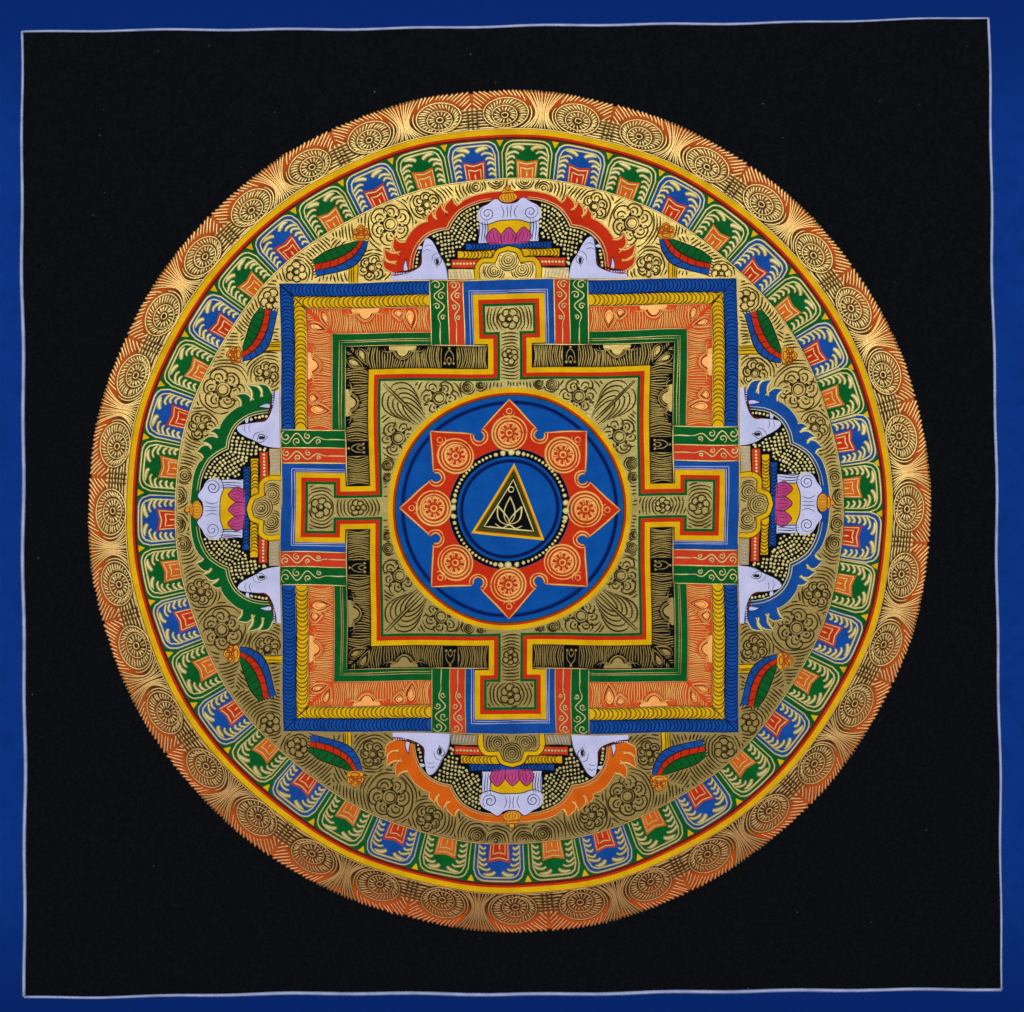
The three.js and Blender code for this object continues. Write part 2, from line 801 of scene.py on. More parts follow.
@dataclass
class ColourLayer(Tool):
    """Areas of flat colour that dry as one thin layer."""

    SAME_PLACE = 1e-4

    mesh: bmesh.types.BMesh = field(default_factory=bmesh.new)

    def __post_init__(self) -> None:
        """Lets every point have its own wash."""
        self.wash = self.mesh.verts.layers.float.new("wash")

    def area(self, low: Flat, high: Flat, paint: Paint, across: int = 1, wash: Any = (0.0, 0.0)) -> None:
        """Paints the area between two lines.

        Args:
            low: the first line.
            high: the second line, with as many points.
            paint: the paint.
            across: cells from one line to the other.
            wash: how far the colour is washed over at the first and the second line,
                for all points or for each.
        """
        low, high = self.place(low), self.place(high)
        last = len(low) - 1
        tint = np.broadcast_to(np.asarray(wash, float), (len(low), 2))
        made = bmesh.ops.create_grid(self.mesh, x_segments=last, y_segments=across, size=0.5)["verts"]
        slot = self.slot_of(paint)
        for face in {face for vert in made for face in vert.link_faces}:
            face.material_index = slot
        for vert in made:
            place, share = round((vert.co.x + 0.5) * last), vert.co.y + 0.5
            vert.co = (*(low[place] * (1 - share) + high[place] * share), 0.0)
            vert[self.wash] = tint[place, 0] * (1 - share) + tint[place, 1] * share
        bmesh.ops.remove_doubles(self.mesh, verts=made, dist=self.SAME_PLACE)

    def leaf(self, sides: Sides, paint: Paint) -> None:
        """Paints a leaf between its two sides."""
        self.area(sides[0], sides[1], paint, 2)

    def block(self, low: Point, high: Point, paint: Paint) -> None:
        """Paints an upright rectangle between two corners."""
        under = straight(low, (high[0], low[1]), step=CELL)
        self.area(under, level_under(under, high[1]), paint, max(1, math.ceil((high[1] - low[1]) / CELL)))

    def disc(self, oval: Oval, paint: Paint) -> None:
        """Paints a round spot."""
        rim = oval.rim()
        self.area(np.zeros_like(rim) + (oval.x, oval.y), rim, paint, max(1, round(oval.wide / CELL)))

    def ring(self, inner: float, outer: float, paint: Paint, wash: Point = (0.0, 0.0)) -> None:
        """Paints a ring between two radii, washed over so far at its inner and its outer edge."""
        rim = unit_circle()
        self.area(rim * inner, rim * outer, paint, max(1, math.ceil((outer - inner) / CELL)), wash)

    def build(self) -> Piece:
        """Gives the layer its thickness and hangs it.

        Returns:
            The piece.
        """
        self.mesh.normal_update()
        bmesh.ops.reverse_faces(self.mesh, faces=[face for face in self.mesh.faces if face.normal.z < 0])
        bmesh.ops.solidify(self.mesh, geom=self.mesh.faces[:], thickness=self.lift + PAINT_ROOT)
        bmesh.ops.translate(self.mesh, verts=self.mesh.verts[:], vec=(0.0, 0.0, self.lift))
        return self.hang(mesh_of(self.name, self.mesh))


@dataclass
class BrushWork(Tool):
    """Brush lines and dabs that dry as low ridges, joined into one mesh."""

    DAB_SIDES = 8
    # A dab's waist and the heights of waist and top, in radii
    WAIST, WAIST_RISE, TOP_RISE = 0.72, 0.32, 0.45
    # The spread of a stroke's breadth, of a dab's reach, and of a stroke's sway in radians
    PRESSURE, ROUNDNESS = (0.88, 1.12), (0.85, 1.15)
    PHASES, BEATS = (0.0, 6.28), (3.0, 8.0)
    # How many times as long as its taper a stroke is
    TAPERS = 3

    lift: float = LINE_LIFT
    seed: int = 0
    points: list[np.ndarray] = field(default_factory=list)
    washes: list[np.ndarray] = field(default_factory=list)
    faces: list[list[int]] = field(default_factory=list)
    slots: list[int] = field(default_factory=list)
    count: int = 0

    def __post_init__(self) -> None:
        """Starts the hand's unevenness from the seed."""
        self.hand = np.random.default_rng(self.seed)

    def keep(self, points: np.ndarray, wash: np.ndarray, faces: list[list[int]], paint: Paint) -> None:
        """Adds one closed ridge to the mesh.

        Args:
            points: its vertices.
            wash: how far each is washed over.
            faces: its faces, counted from its own first vertex.
            paint: its paint.
        """
        self.points.append(points)
        self.washes.append(wash)
        self.faces.extend([[self.count + corner for corner in face] for face in faces])
        self.slots.extend([self.slot_of(paint)] * len(faces))
        self.count += len(points)

    def stroke(
        self, path: Flat, width: float, paint: Paint, ends: Point = (0.6, 0.6), wash: Point = (0.0, 0.0)
    ) -> None:
        """Draws one line.

        Args:
            path: the points that the brush passes.
            width: the full width of the line.
            paint: the paint.
            ends: the width at both ends, as shares of the full width.
            wash: how far it is washed over at both ends.
        """
        path = self.place(path)
        count = len(path)
        share = np.linspace(0, 1, count)
        side = left_of(unit(np.gradient(path, axis=0)))
        phase, beat = self.hand.uniform(*self.PHASES), self.hand.uniform(*self.BEATS)
        sway = HAND.sway * np.sin(phase + beat * share)
        path = path + self.hand.normal(0, HAND.sway, 2) + side * sway[:, None]
        reach = share * self.TAPERS
        start, end = (e + (1 - e) * smooth_step(s) for e, s in zip(ends, (reach, self.TAPERS - reach)))
        breadth = width * start * end * self.hand.uniform(*self.PRESSURE)
        foot = np.full((count, 1), self.lift - PAINT_ROOT)
        left = np.hstack([path + side * breadth[:, None] / 2, foot])
        right = np.hstack([path - side * breadth[:, None] / 2, foot])
        crest = np.column_stack([path, self.lift + RIDGE * breadth])
        points = np.stack([left, crest, right], axis=1).reshape(-1, 3)
        faces = [[0, 2, 1], [3 * count - 3, 3 * count - 2, 3 * count - 1]]
        for at in range(0, 3 * (count - 1), 3):
            for a, b in ((0, 1), (1, 2), (2, 0)):
                faces.append([at + a, at + b, at + b + 3, at + a + 3])
        self.keep(points, np.repeat(wash[0] + (wash[1] - wash[0]) * share, 3), faces, paint)

    def trace(self, path: Flat, keep: np.ndarray, width: float, paint: Paint, *look: Point) -> None:
        """Draws the kept stretches of a line, each with the ends and the wash that a stroke takes."""
        for run in runs(path, keep):
            self.stroke(run, width, paint, *look)

    def dab(self, x: float, y: float, radius: float, paint: Paint) -> None:
        """Sets one round dot.

        Args:
            x: its place.
            y: its place.
            radius: its radius.
            paint: the paint.
        """
        sides = self.DAB_SIDES
        centre = self.place(np.array([(x, y)]))
        turn = np.linspace(0, 2 * math.pi, sides, endpoint=False) + self.hand.uniform(0, 1)
        reach = radius * self.hand.uniform(*self.ROUNDNESS, (sides, 1))
        spread = np.column_stack([np.cos(turn), np.sin(turn)]) * reach
        rim = np.hstack([centre + spread, np.full((sides, 1), self.lift - PAINT_ROOT)])
        shoulder = np.full((sides, 1), self.lift + self.WAIST_RISE * radius)
        waist = np.hstack([centre + spread * self.WAIST, shoulder])
        top = np.hstack([centre, [[self.lift + self.TOP_RISE * radius]]])
        faces = [list(range(sides))[::-1]]
        for k in range(sides):
            n = (k + 1) % sides
            faces.append([k, n, sides + n, sides + k])
            faces.append([sides + k, sides + n, 2 * sides])
        self.keep(np.vstack([rim, waist, top]), np.zeros(2 * sides + 1), faces, paint)

    def build(self) -> Piece:
        """Joins the strokes and hangs them.

        Returns:
            The piece.
        """
        mesh = bpy.data.meshes.new(self.name)
        mesh.from_pydata(np.vstack(self.points).tolist(), [], self.faces)
        mesh.polygons.foreach_set("material_index", self.slots)
        mesh.polygons.foreach_set("use_smooth", np.ones(len(self.faces), bool))
        mesh.attributes.new("wash", "FLOAT", "POINT").data.foreach_set("value", np.concatenate(self.washes))
        return self.hang(mesh)


@dataclass
class Canvas:
    """The cotton sheet with its black ground, its blue border and the white line between them."""

    # Faces that lean more than this belong to the sheet's cut edge
    STEEP = 0.5
    SIDE_POINTS = 96
    BORDER_CELLS = 4

    line_widths: tuple[float, ...] = (1.35, 1.5, 1.5, 1.8)
    inner: Line = ((-195.2, 191.1), (191.2, 196.7), (196.4, -191.3), (-193.2, -193.7))
    sags: tuple[float, ...] = (-0.7, 0.0, 0.0, -0.8)
    # The height, up or down, from which the border turns darker towards the top and bottom, and over how much
    # it darkens
    darker_from: float = 140.0
    darker_over: float = 60.0

    def sheet(self) -> Piece:
        """The sheet itself, black in front and raw cotton behind.

        Returns:
            The sheet.
        """
        mesh = bmesh.new()
        cells = [math.ceil(side / CELL) for side in (CLOTH.width, CLOTH.height)]
        bmesh.ops.create_grid(mesh, x_segments=cells[0], y_segments=cells[1], size=0.5)
        for vert in mesh.verts:
            across, up = vert.co.x + 0.5, vert.co.y + 0.5
            vert.co = (CLOTH.left + across * CLOTH.width, CLOTH.bottom + up * CLOTH.height, 0.0)
        bmesh.ops.solidify(mesh, geom=mesh.faces[:], thickness=CLOTH.thickness)
        mesh.normal_update()
        chart = mesh.loops.layers.uv.new(CHART)
        for face in mesh.faces:
            behind = face.normal.z < self.STEEP
            face.material_index = int(behind)
            face.smooth = abs(face.normal.z) > self.STEEP
            for corner in face.loops:
                across = (corner.vert.co.x - CLOTH.left) / CLOTH.width
                up = (corner.vert.co.y - CLOTH.bottom) / CLOTH.height
                corner[chart].uv = ((across + behind) / 2, up)
        made = mesh_of("canvas", mesh)
        flat = np.array([vert.co for vert in made.vertices], float)
        made.vertices.foreach_set("co", CLOTH.hang(flat).ravel())
        for paint in (Paint.BLACK, Paint.COTTON):
            made.materials.append(paint.value.material())
        piece = add_object("canvas", made)
        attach(piece, "root")
        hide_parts("painted_canvas")
        LOG.info("canvas: %d faces", len(made.polygons))
        return piece

    def build(self) -> tuple[Piece, list[Piece]]:
        """Builds the sheet, the border and the line.

        Returns:
            The sheet and the pieces painted on it.
        """
        left, right, bottom, top = CLOTH.left, CLOTH.right, CLOTH.bottom, CLOTH.top
        outer = ((left, top), (right, top), (right, bottom), (left, bottom))
        border = ColourLayer("border_paint", GROUND_LIFT)
        line = BrushWork("border_line", COLOUR_LIFT, seed=3)
        share = np.linspace(0, 1, self.SIDE_POINTS)[:, None]
        for side in range(4):
            start, end = np.array(self.inner[side]), np.array(self.inner[(side + 1) % 4])
            lean = left_of(unit(end - start)) * self.sags[side] * np.sin(np.pi * share)
            path = start + (end - start) * share + lean
            edge = np.linspace(outer[side], outer[(side + 1) % 4], self.SIDE_POINTS)
            heights = np.abs(np.column_stack([path[:, 1], edge[:, 1]]))
            darker = smooth_step((heights - self.darker_from) / self.darker_over)
            border.area(path, edge, Paint.BORDER, self.BORDER_CELLS, darker)
            line.stroke(path, self.line_widths[side], Paint.CHALK, (0.9, 0.7))
        return self.sheet(), [border.build(), line.build()]


@dataclass
class ScrollRing:
    """The outer ring of ribbed shells, sheaves and feathers in gold on black and ember."""

    inner: float = 152.4
    outer: float = 168.0
    pairs: int = 18
    first_sheaf: float = 85.4
    shell: Oval = Oval(14.4, 6.5, 9.0, 5.9)
    wheel: Oval = Oval(14.9, 5.7, 5.0, 3.7)
    # Distance between feathers, where they start and where they bow
    pitch: float = 1.28
    feather_foot: float = 8.0
    feather_bow: float = 11.7
    # Degrees between ribs and between teeth, and how far both whirl round the wheel
    rib_turn: float = 11.25
    tooth_turn: float = 22.5
    whirl: float = 8.0
    # Collars round the shell: size as a share of the shell's, first angle; and the last angle of all
    collars: Line = ((1.14, 152), (1.29, 168), (1.44, 184))
    collar_end: float = 238
    stalk_count: int = 6
    # Rungs under the seam: first height, height that none reaches, distance
    rungs: tuple[float, float, float] = (0.8, 8.4, 1.22)
    # The gap kept to the seam between two shells, and round a shell
    seam_gap: float = 0.15
    shell_gap: float = 0.6
    # The ground's rings: inner and outer distance from the base, wash at both
    embers: tuple[tuple[float, float, Point], ...] = (
        (0.0, 6.0, (0.0, 0.1)), (6.0, 11.0, (0.1, 0.8)), (11.0, 14.7, (0.8, 1.0)),
    )

    @property
    def half(self) -> float:
        """The length of one shell's strip, from the sheaf to the seam between two shells."""
        return math.pi * (self.inner + self.outer) / 2 / self.pairs

    def shells(self, work: BrushWork) -> None:
        """A wheel of teeth inside a shell of ribs.

        Args:
            work: takes the strokes.
        """
        shell, wheel = self.shell, self.wheel
        work.stroke(shell.rim(), 0.85, Paint.GOLD, (1.0, 1.0), (0.2, 0.2))
        for turn in np.arange(0, 360, self.rib_turn):
            a, b = np.array(wheel.at(turn, 1.14)), np.array(shell.at(turn + self.whirl, 0.93))
            work.stroke(flow(a, a * 0.5 + b * 0.5 + (0.0, 0.2), b, count=5), 0.98, Paint.GOLD, (0.55, 1.0))
        work.stroke(wheel.rim(step=0.8), 0.62, Paint.GOLD, (1.0, 1.0))
        for turn in np.arange(0, 360, self.tooth_turn):
            tooth = straight(wheel.at(turn, 0.42), wheel.at(turn + self.whirl, 0.94), step=1.0)
            work.stroke(tooth, 1.0, Paint.GOLD, (0.5, 1.0))
        work.stroke(wheel.rim(share=0.26, step=0.6), 0.7, Paint.GOLD, (1.0, 1.0))

    def sheaf(self, place: int) -> Flat:
        """One stalk of the sheaf.

        Args:
            place: its number, counted from the sheaf's middle.

        Returns:
            The stalk's points.
        """
        return flow(
            (0.4 + 1.4 * place, 0.4), (0.3 + 0.66 * place, 3.6), (0.25 + 0.44 * place, 7.0),
            (0.45 + 0.8 * place, 11.0), (0.8 + 1.45 * place, self.outer - self.inner - 0.2), count=16,
        )

    def feathers(self, work: BrushWork) -> None:
        """Slanting strokes from the rim in to the shell, and collars round the shell beside the sheaf.

        Args:
            work: takes the strokes.
        """
        shell, half, edge = self.shell, self.half, self.sheaf(self.stalk_count - 1)
        tip, top = edge[-1]
        while tip < half + 8:
            lean = 0.5 + 0.65 * min(1.0, (tip - edge[-1, 0]) / 12)
            tip += self.pitch * math.hypot(1, lean)
            foot = (tip - lean * (top - self.feather_foot), self.feather_foot)
            bow = (tip - lean * (top - self.feather_bow) - 0.35, self.feather_bow)
            path = flow(foot, bow, (tip, top), count=20)
            clear = ~shell.holds(path, 1.13) & (path[:, 0] < half - self.seam_gap)
            work.trace(path, clear, 1.08, Paint.FLARE, (0.7, 0.95))
        for share, start in self.collars:
            collar = shell.rim(start, self.collar_end, share, 0.8)
            clear = collar[:, 0] > np.interp(collar[:, 1], edge[:, 1], edge[:, 0]) + 0.7
            work.trace(collar, clear & (collar[:, 1] > 0.5), 0.9, Paint.GOLD, (0.6, 0.6))

    def stalks(self, work: BrushWork) -> None:
        """The sheaf's stalks, and the rungs under the seam between two shells.

        Args:
            work: takes the strokes.
        """
        shell, half = self.shell, self.half
        for level in np.arange(*self.rungs):
            out = math.sqrt(max(0.0, 1 - ((level - shell.y) / (shell.high + self.shell_gap)) ** 2))
            start = shell.x + (shell.wide + self.shell_gap) * out
            for near, far in ((start, half - 2.0), (half - 1.7, half - self.seam_gap)):
                rung = straight((near, level), (far, level + 0.2), step=1.2)
                work.stroke(rung, 0.98, Paint.GOLD, (0.8, 0.9))
        for place in range(self.stalk_count):
            path = self.sheaf(place)
            work.trace(path, ~shell.holds(path, 1.07), 0.96, Paint.GOLD, (0.75, 1.0), (0.0, 0.75))

    def build(self) -> list[Piece]:
        """Builds the ground and the gold.

        Returns:
            The pieces.
        """
        ground = ColourLayer("scroll_ring_ground", COLOUR_LIFT)
        for low, high, wash in self.embers:
            ground.ring(self.inner + low, self.inner + high, Paint.EMBER, wash)
        work = BrushWork("scroll_ring_gold", seed=11)
        strip = {"base": self.inner, "middle": (self.inner + self.outer) / 2}
        angles = [self.first_sheaf + 360 / self.pairs * pair for pair in range(self.pairs)]
        units = [partial(round_strip, angle=a, mirrored=m, **strip) for a in angles for m in (False, True)]
        for _ in placed(units, work):
            self.shells(work)
            self.feathers(work)
            self.stalks(work)
        work.stroke(arc(0, 0, self.inner + 0.3, step=2), 0.6, Paint.GOLD)
        return [ground.build(), work.build()]


@dataclass
class PetalRing:
    """The ring of lotus petals inside thin yellow, red and dark rings."""

    inner: float = 132.8
    outer: float = 148.4
    cells: int = 42
    first: float = 1.3
    # How far petals stand off their even places, in degrees, by number
    strays: Line = ((0, 2.5), (3, 0.2), (27, 0.3), (40, 3.5), (42, 2.5))
    half: float = 10.2
    top: float = 15.5
    corner: float = 4.8
    # Heights at which the combs spring from the petal's sides, and how far they reach in
    combs: Line = ((0.9, 2.7), (3.0, 2.9), (5.2, 3.1), (7.4, 3.6), (9.3, 4.8))
    heart: Line = ((-4.1, 0.3), (-4.4, 7.7), (-2.3, 7.1), (0.0, 6.6), (2.3, 7.1), (4.4, 7.7), (4.1, 0.3))
    foot: float = 0.3
    # The rings: inner radius, outer radius, paint
    bands: tuple[tuple[float, float, Paint], ...] = (
        (150.3, 152.5, Paint.YELLOW), (149.4, 150.3, Paint.RED),
        (outer, 149.4, Paint.MAROON), (inner, outer, Paint.GREEN),
    )

    def outline(self, inset: float) -> Flat:
        """The petal's rounded outline, from foot to foot.

        Args:
            inset: how far inside the petal's edge.

        Returns:
            The outline's points.
        """
        half, top, corner = self.half - inset, self.top - inset, self.corner - 0.5 * inset
        x = np.linspace(-half, half, 19)
        past = np.maximum(0.0, np.abs(x) - (half - corner))
        over = np.column_stack([x, top - corner + np.sqrt(np.maximum(0.0, corner**2 - past**2))])
        left, right = (-half, self.foot), (half, self.foot)
        return np.vstack([straight(left, tuple(over[0])), over[1:-1], straight(tuple(over[-1]), right)])

    def petal(self, layer: ColourLayer, hearts: ColourLayer, work: BrushWork, odd: bool) -> None:
        """One petal with its heart and its combed edge.

        Args:
            layer: takes the petal's colour.
            hearts: takes the heart's colour.
            work: takes the lines.
            odd: whether it is a blue petal.
        """
        body, heart = (Paint.BLUE, Paint.RED) if odd else (Paint.GREEN, Paint.ORANGE)
        rim = self.outline(0.0)
        layer.area(level_under(rim, self.foot), rim, body, 4)
        for inset, width in ((0.45, 0.9), (1.85, 1.0)):
            work.stroke(self.outline(inset), width, Paint.CREAM)
        side = self.half - 1.9
        for way in (1, -1):
            for level, reach in self.combs:
                x = -side + max(0.0, level - 9) * 0.8
                comb = flow(
                    (x, level), (x + reach * 0.35, level + 1.1), (x + reach * 0.75, level + 1.4),
                    (x + reach, level + 0.6), count=9,
                )
                work.stroke(comb * (way, 1), 1.4, Paint.CREAM, (0.8, 0.75))
            lobe = flow((-side + 2.2, 12.4), (-4.2, 12.7), (-2.4, 12.2), (-1.3, 11.3), count=10)
            work.stroke(lobe * (way, 1), 2.2, Paint.CREAM, (0.3, 0.75))
        shape = np.array(self.heart)
        crown = straight(*self.heart[1:-1], step=1.8)
        hearts.area(np.column_stack([crown[:, 0] * 0.9, np.full(len(crown), 0.25)]), crown, heart, 2)
        for share, width in ((0.84, 0.7), (0.55, 0.7)):
            work.stroke(straight(*map(tuple, shape * share + (0, 0.1)), step=1.6), width, Paint.CREAM)
        work.stroke(straight((0, 0.4), (0, 2.6), step=0.8), 0.8, Paint.CREAM)

    def build(self) -> list[Piece]:
        """Builds the rings, the petals and their lines.

        Returns:
            The pieces.
        """
        rings = ColourLayer("ring_bands", COLOUR_LIFT)
        for inner, outer, paint in self.bands:
            rings.ring(inner, outer, paint)
        petals = ColourLayer("petal_colours", MOTIF_LIFT)
        hearts = ColourLayer("petal_hearts", FRONT_LIFT)
        work = BrushWork("petal_lines", seed=17)
        middle = (self.inner + self.outer) / 2
        pitch = 2 * math.pi * middle / self.cells
        number = np.arange(self.cells)
        turns = self.first + 360 / self.cells * number + np.interp(number, *zip(*self.strays))
        cells = [partial(round_strip, base=self.inner, middle=middle, angle=turn) for turn in turns]
        for cell, _ in enumerate(placed(cells, petals, hearts, work)):
            self.petal(petals, hearts, work, cell % 2 == 1)
            gap = np.array([(pitch / 2 - 0.1, 13.0), (pitch / 2 + 0.1, 13.0)])
            petals.area(gap, gap * (1, 0) + [(-1.2, 15.5), (1.2, 15.5)], Paint.YELLOW)
        work.stroke(arc(0, 0, self.inner, step=2), 0.7, Paint.GOLD)
        return [rings.build(), petals.build(), hearts.build(), work.build()]


# A brush for dark lines and one for their shades
Inks = tuple[BrushWork, BrushWork]


@dataclass(frozen=True)
class Rosette:
    """A flower of round lobes, or of plain rings if it has none: its place, reach and lobes."""

    x: float
    y: float
    reach: float
    lobes: int


@dataclass(frozen=True)
class ScrollPen:
    """Draws dark scrollwork on gold: flowers of whirling lobes, with lines round them."""

    line: float = 0.37
    shade: float = 0.82
    taper: Point = (0.5, 0.5)
    spacing: float = 1.36
    # Rings of a flower's eye, with lobes round it and without, as shares of the flower's reach
    eye: tuple[float, ...] = (0.23, 0.34)
    plain: tuple[float, ...] = (0.3, 0.64, 0.98)
    # Where lobes spring from the eye, and the size of every other lobe
    root: float = 0.4
    lesser: float = 0.84
    # A flower's reach above which its lobes have one, two and three curves
    detail_from: tuple[float, ...] = (2.0, 5.0, 7.0)
    # The curves of a lobe: turn in shares of its width, distance in shares of the flower's reach
    curves: tuple[Line, ...] = (
        ((0.0, 0.4), (-0.06, 0.58), (0.1, 0.82), (0.44, 0.98), (0.8, 0.97), (1.06, 0.82), (1.1, 0.62)),
        ((0.36, 0.46), (0.36, 0.6), (0.5, 0.76), (0.74, 0.79), (0.93, 0.66)),
        ((0.66, 0.46), (0.68, 0.55), (0.82, 0.61)),
    )

    def mark(self, inks: Inks, path: Flat, keep: Test) -> None:
        """Draws a dark line in a shaded furrow.

        Args:
            inks: take the line and its shade.
            path: the line.
            keep: which points may be drawn on.
        """
        kept = keep(path)
        inks[1].trace(path, kept, self.shade, Paint.UMBER, self.taper)
        inks[0].trace(path, kept, self.line, Paint.INK, self.taper)

    def flower(self, inks: Inks, flower: Rosette, way: int, keep: Test) -> None:
        """Draws one flower with a round eye and whirling lobes.

        Args:
            inks: take the lines and their shades.
            flower: the flower.
            way: 1 if it whirls anticlockwise, otherwise -1.
            keep: which points may be drawn on.
        """
        eye = Oval(flower.x, flower.y, flower.reach, flower.reach)
        for share in self.eye if flower.lobes else self.plain:
            self.mark(inks, eye.rim(share=share, step=0.5), keep)
        first = inks[0].hand.uniform(0, 60)
        for k in range(flower.lobes):
            width = 360 / flower.lobes * way
            size = 1.0 if k % 2 else self.lesser
            notch = straight(eye.at(first + width * k, 0.37), eye.at(first + width * k, 0.5), step=0.3)
            inks[0].trace(notch, keep(notch), 0.15 * flower.reach, Paint.INK, (1.0, 0.1))
            for curve in self.curves[: np.searchsorted(self.detail_from, flower.reach)]:
                lobe = [
                    eye.at(first + width * (k + turn), self.root + (share - self.root) * size)
                    for turn, share in curve
                ]
                self.mark(inks, flow(*lobe, count=3 * len(lobe)), keep)

    def field(self, inks: Inks, flowers: list[Rosette], free: Test, far: float) -> None:
        """Draws the flowers and lines round each that meet half way between neighbours.

        Args:
            inks: take the lines and their shades.
            flowers: the flowers.
            free: which points may be drawn on.
            far: how far the lines go out.
        """
        centres = np.array([(flower.x, flower.y) for flower in flowers])
        reaches = np.array([flower.reach for flower in flowers])
        for own, flower in enumerate(flowers):

            def keep(points: Flat, own: int = own) -> np.ndarray:
                """Which free points belong to this flower."""
                gaps = np.linalg.norm(points[:, None] - centres[None], axis=2) - reaches
                return (gaps.argmin(axis=1) == own) & free(points)

            self.flower(inks, flower, 1 if own % 2 else -1, keep)
            start = inks[0].hand.uniform(0, 360)
            for radius in np.arange(flower.reach + 0.8, flower.reach + far, self.spacing):
                rim = arc(flower.x, flower.y, radius, start, start + 360)
                turn = np.linspace(0, 2 * math.pi, len(rim))
                swell = 1 + 0.12 / radius * np.cos(7 * turn) + 0.05 * np.sin(2 * turn + own)
                self.mark(inks, centres[own] + (rim - centres[own]) * swell[:, None], keep)


@dataclass
class ScrollGround:
    """The gold ground between the palace and the petals, drawn over with dark scrolls."""

    outer: float = 132.8
    hole: float = 84.0
    # The half size of the palace that the scrolls keep off, and how far lines go out from a flower
    inner: float = 91.8
    line_reach: float = 18.0
    slip: float = 0.5
    pen: ScrollPen = ScrollPen()
    rosettes: tuple[Rosette, ...] = (
        Rosette(5.4, 131.6, 2.6, 0),
        Rosette(13.2, 129.6, 2.7, 0),
        Rosette(33.0, 122.4, 5.6, 6),
        Rosette(47.8, 114.4, 8.6, 6),
        Rosette(55.0, 97.2, 5.4, 6),
        Rosette(84.4, 95.2, 4.4, 6),
    )

    def build(self, taken: Test) -> list[Piece]:
        """Builds the ground and its scrolls.

        Args:
            taken: which points of the top side other drawings cover.

        Returns:
            The pieces.
        """
        ground = ColourLayer("scroll_ground", GROUND_LIFT)
        rim = unit_circle()
        hole = rim * (self.hole / np.abs(rim).max(axis=1, keepdims=True))
        ground.area(hole, rim * self.outer, Paint.KHAKI, 12)

        def free(points: Flat, quarter: int) -> np.ndarray:
            """Which points of one side are bare gold.

            Args:
                points: the points, turned to the top side.
                quarter: the side they belong to.

            Returns:
                One truth value for each point.
            """
            true = points - spun(HAND.drift(spun(points, quarter)), -quarter)
            bare = (np.hypot(*points.T) < self.outer - 0.5) & (points[:, 1] > np.abs(points[:, 0]) + 0.4)
            return bare & (true[:, 1] > self.inner) & ~taken(true)

        inks = (
            BrushWork("scroll_ground_lines", GROUND_LIFT + INK_RISE, seed=23),
            BrushWork("scroll_ground_shades", GROUND_LIFT, seed=25),
        )
        for quarter, _ in enumerate(placed(QUARTERS, *inks)):
            slips = inks[0].hand.normal(0, self.slip, (2, len(self.rosettes), 2))
            flowers = [
                Rosette(row.x * way + slip[0], row.y + slip[1], row.reach, row.lobes)
                for way, part in zip((1, -1), slips)
                for row, slip in zip(self.rosettes, part)
            ]
            self.pen.field(inks, flowers, partial(free, quarter=quarter), self.line_reach)
        return [ground.build(), *(ink.build() for ink in inks)]


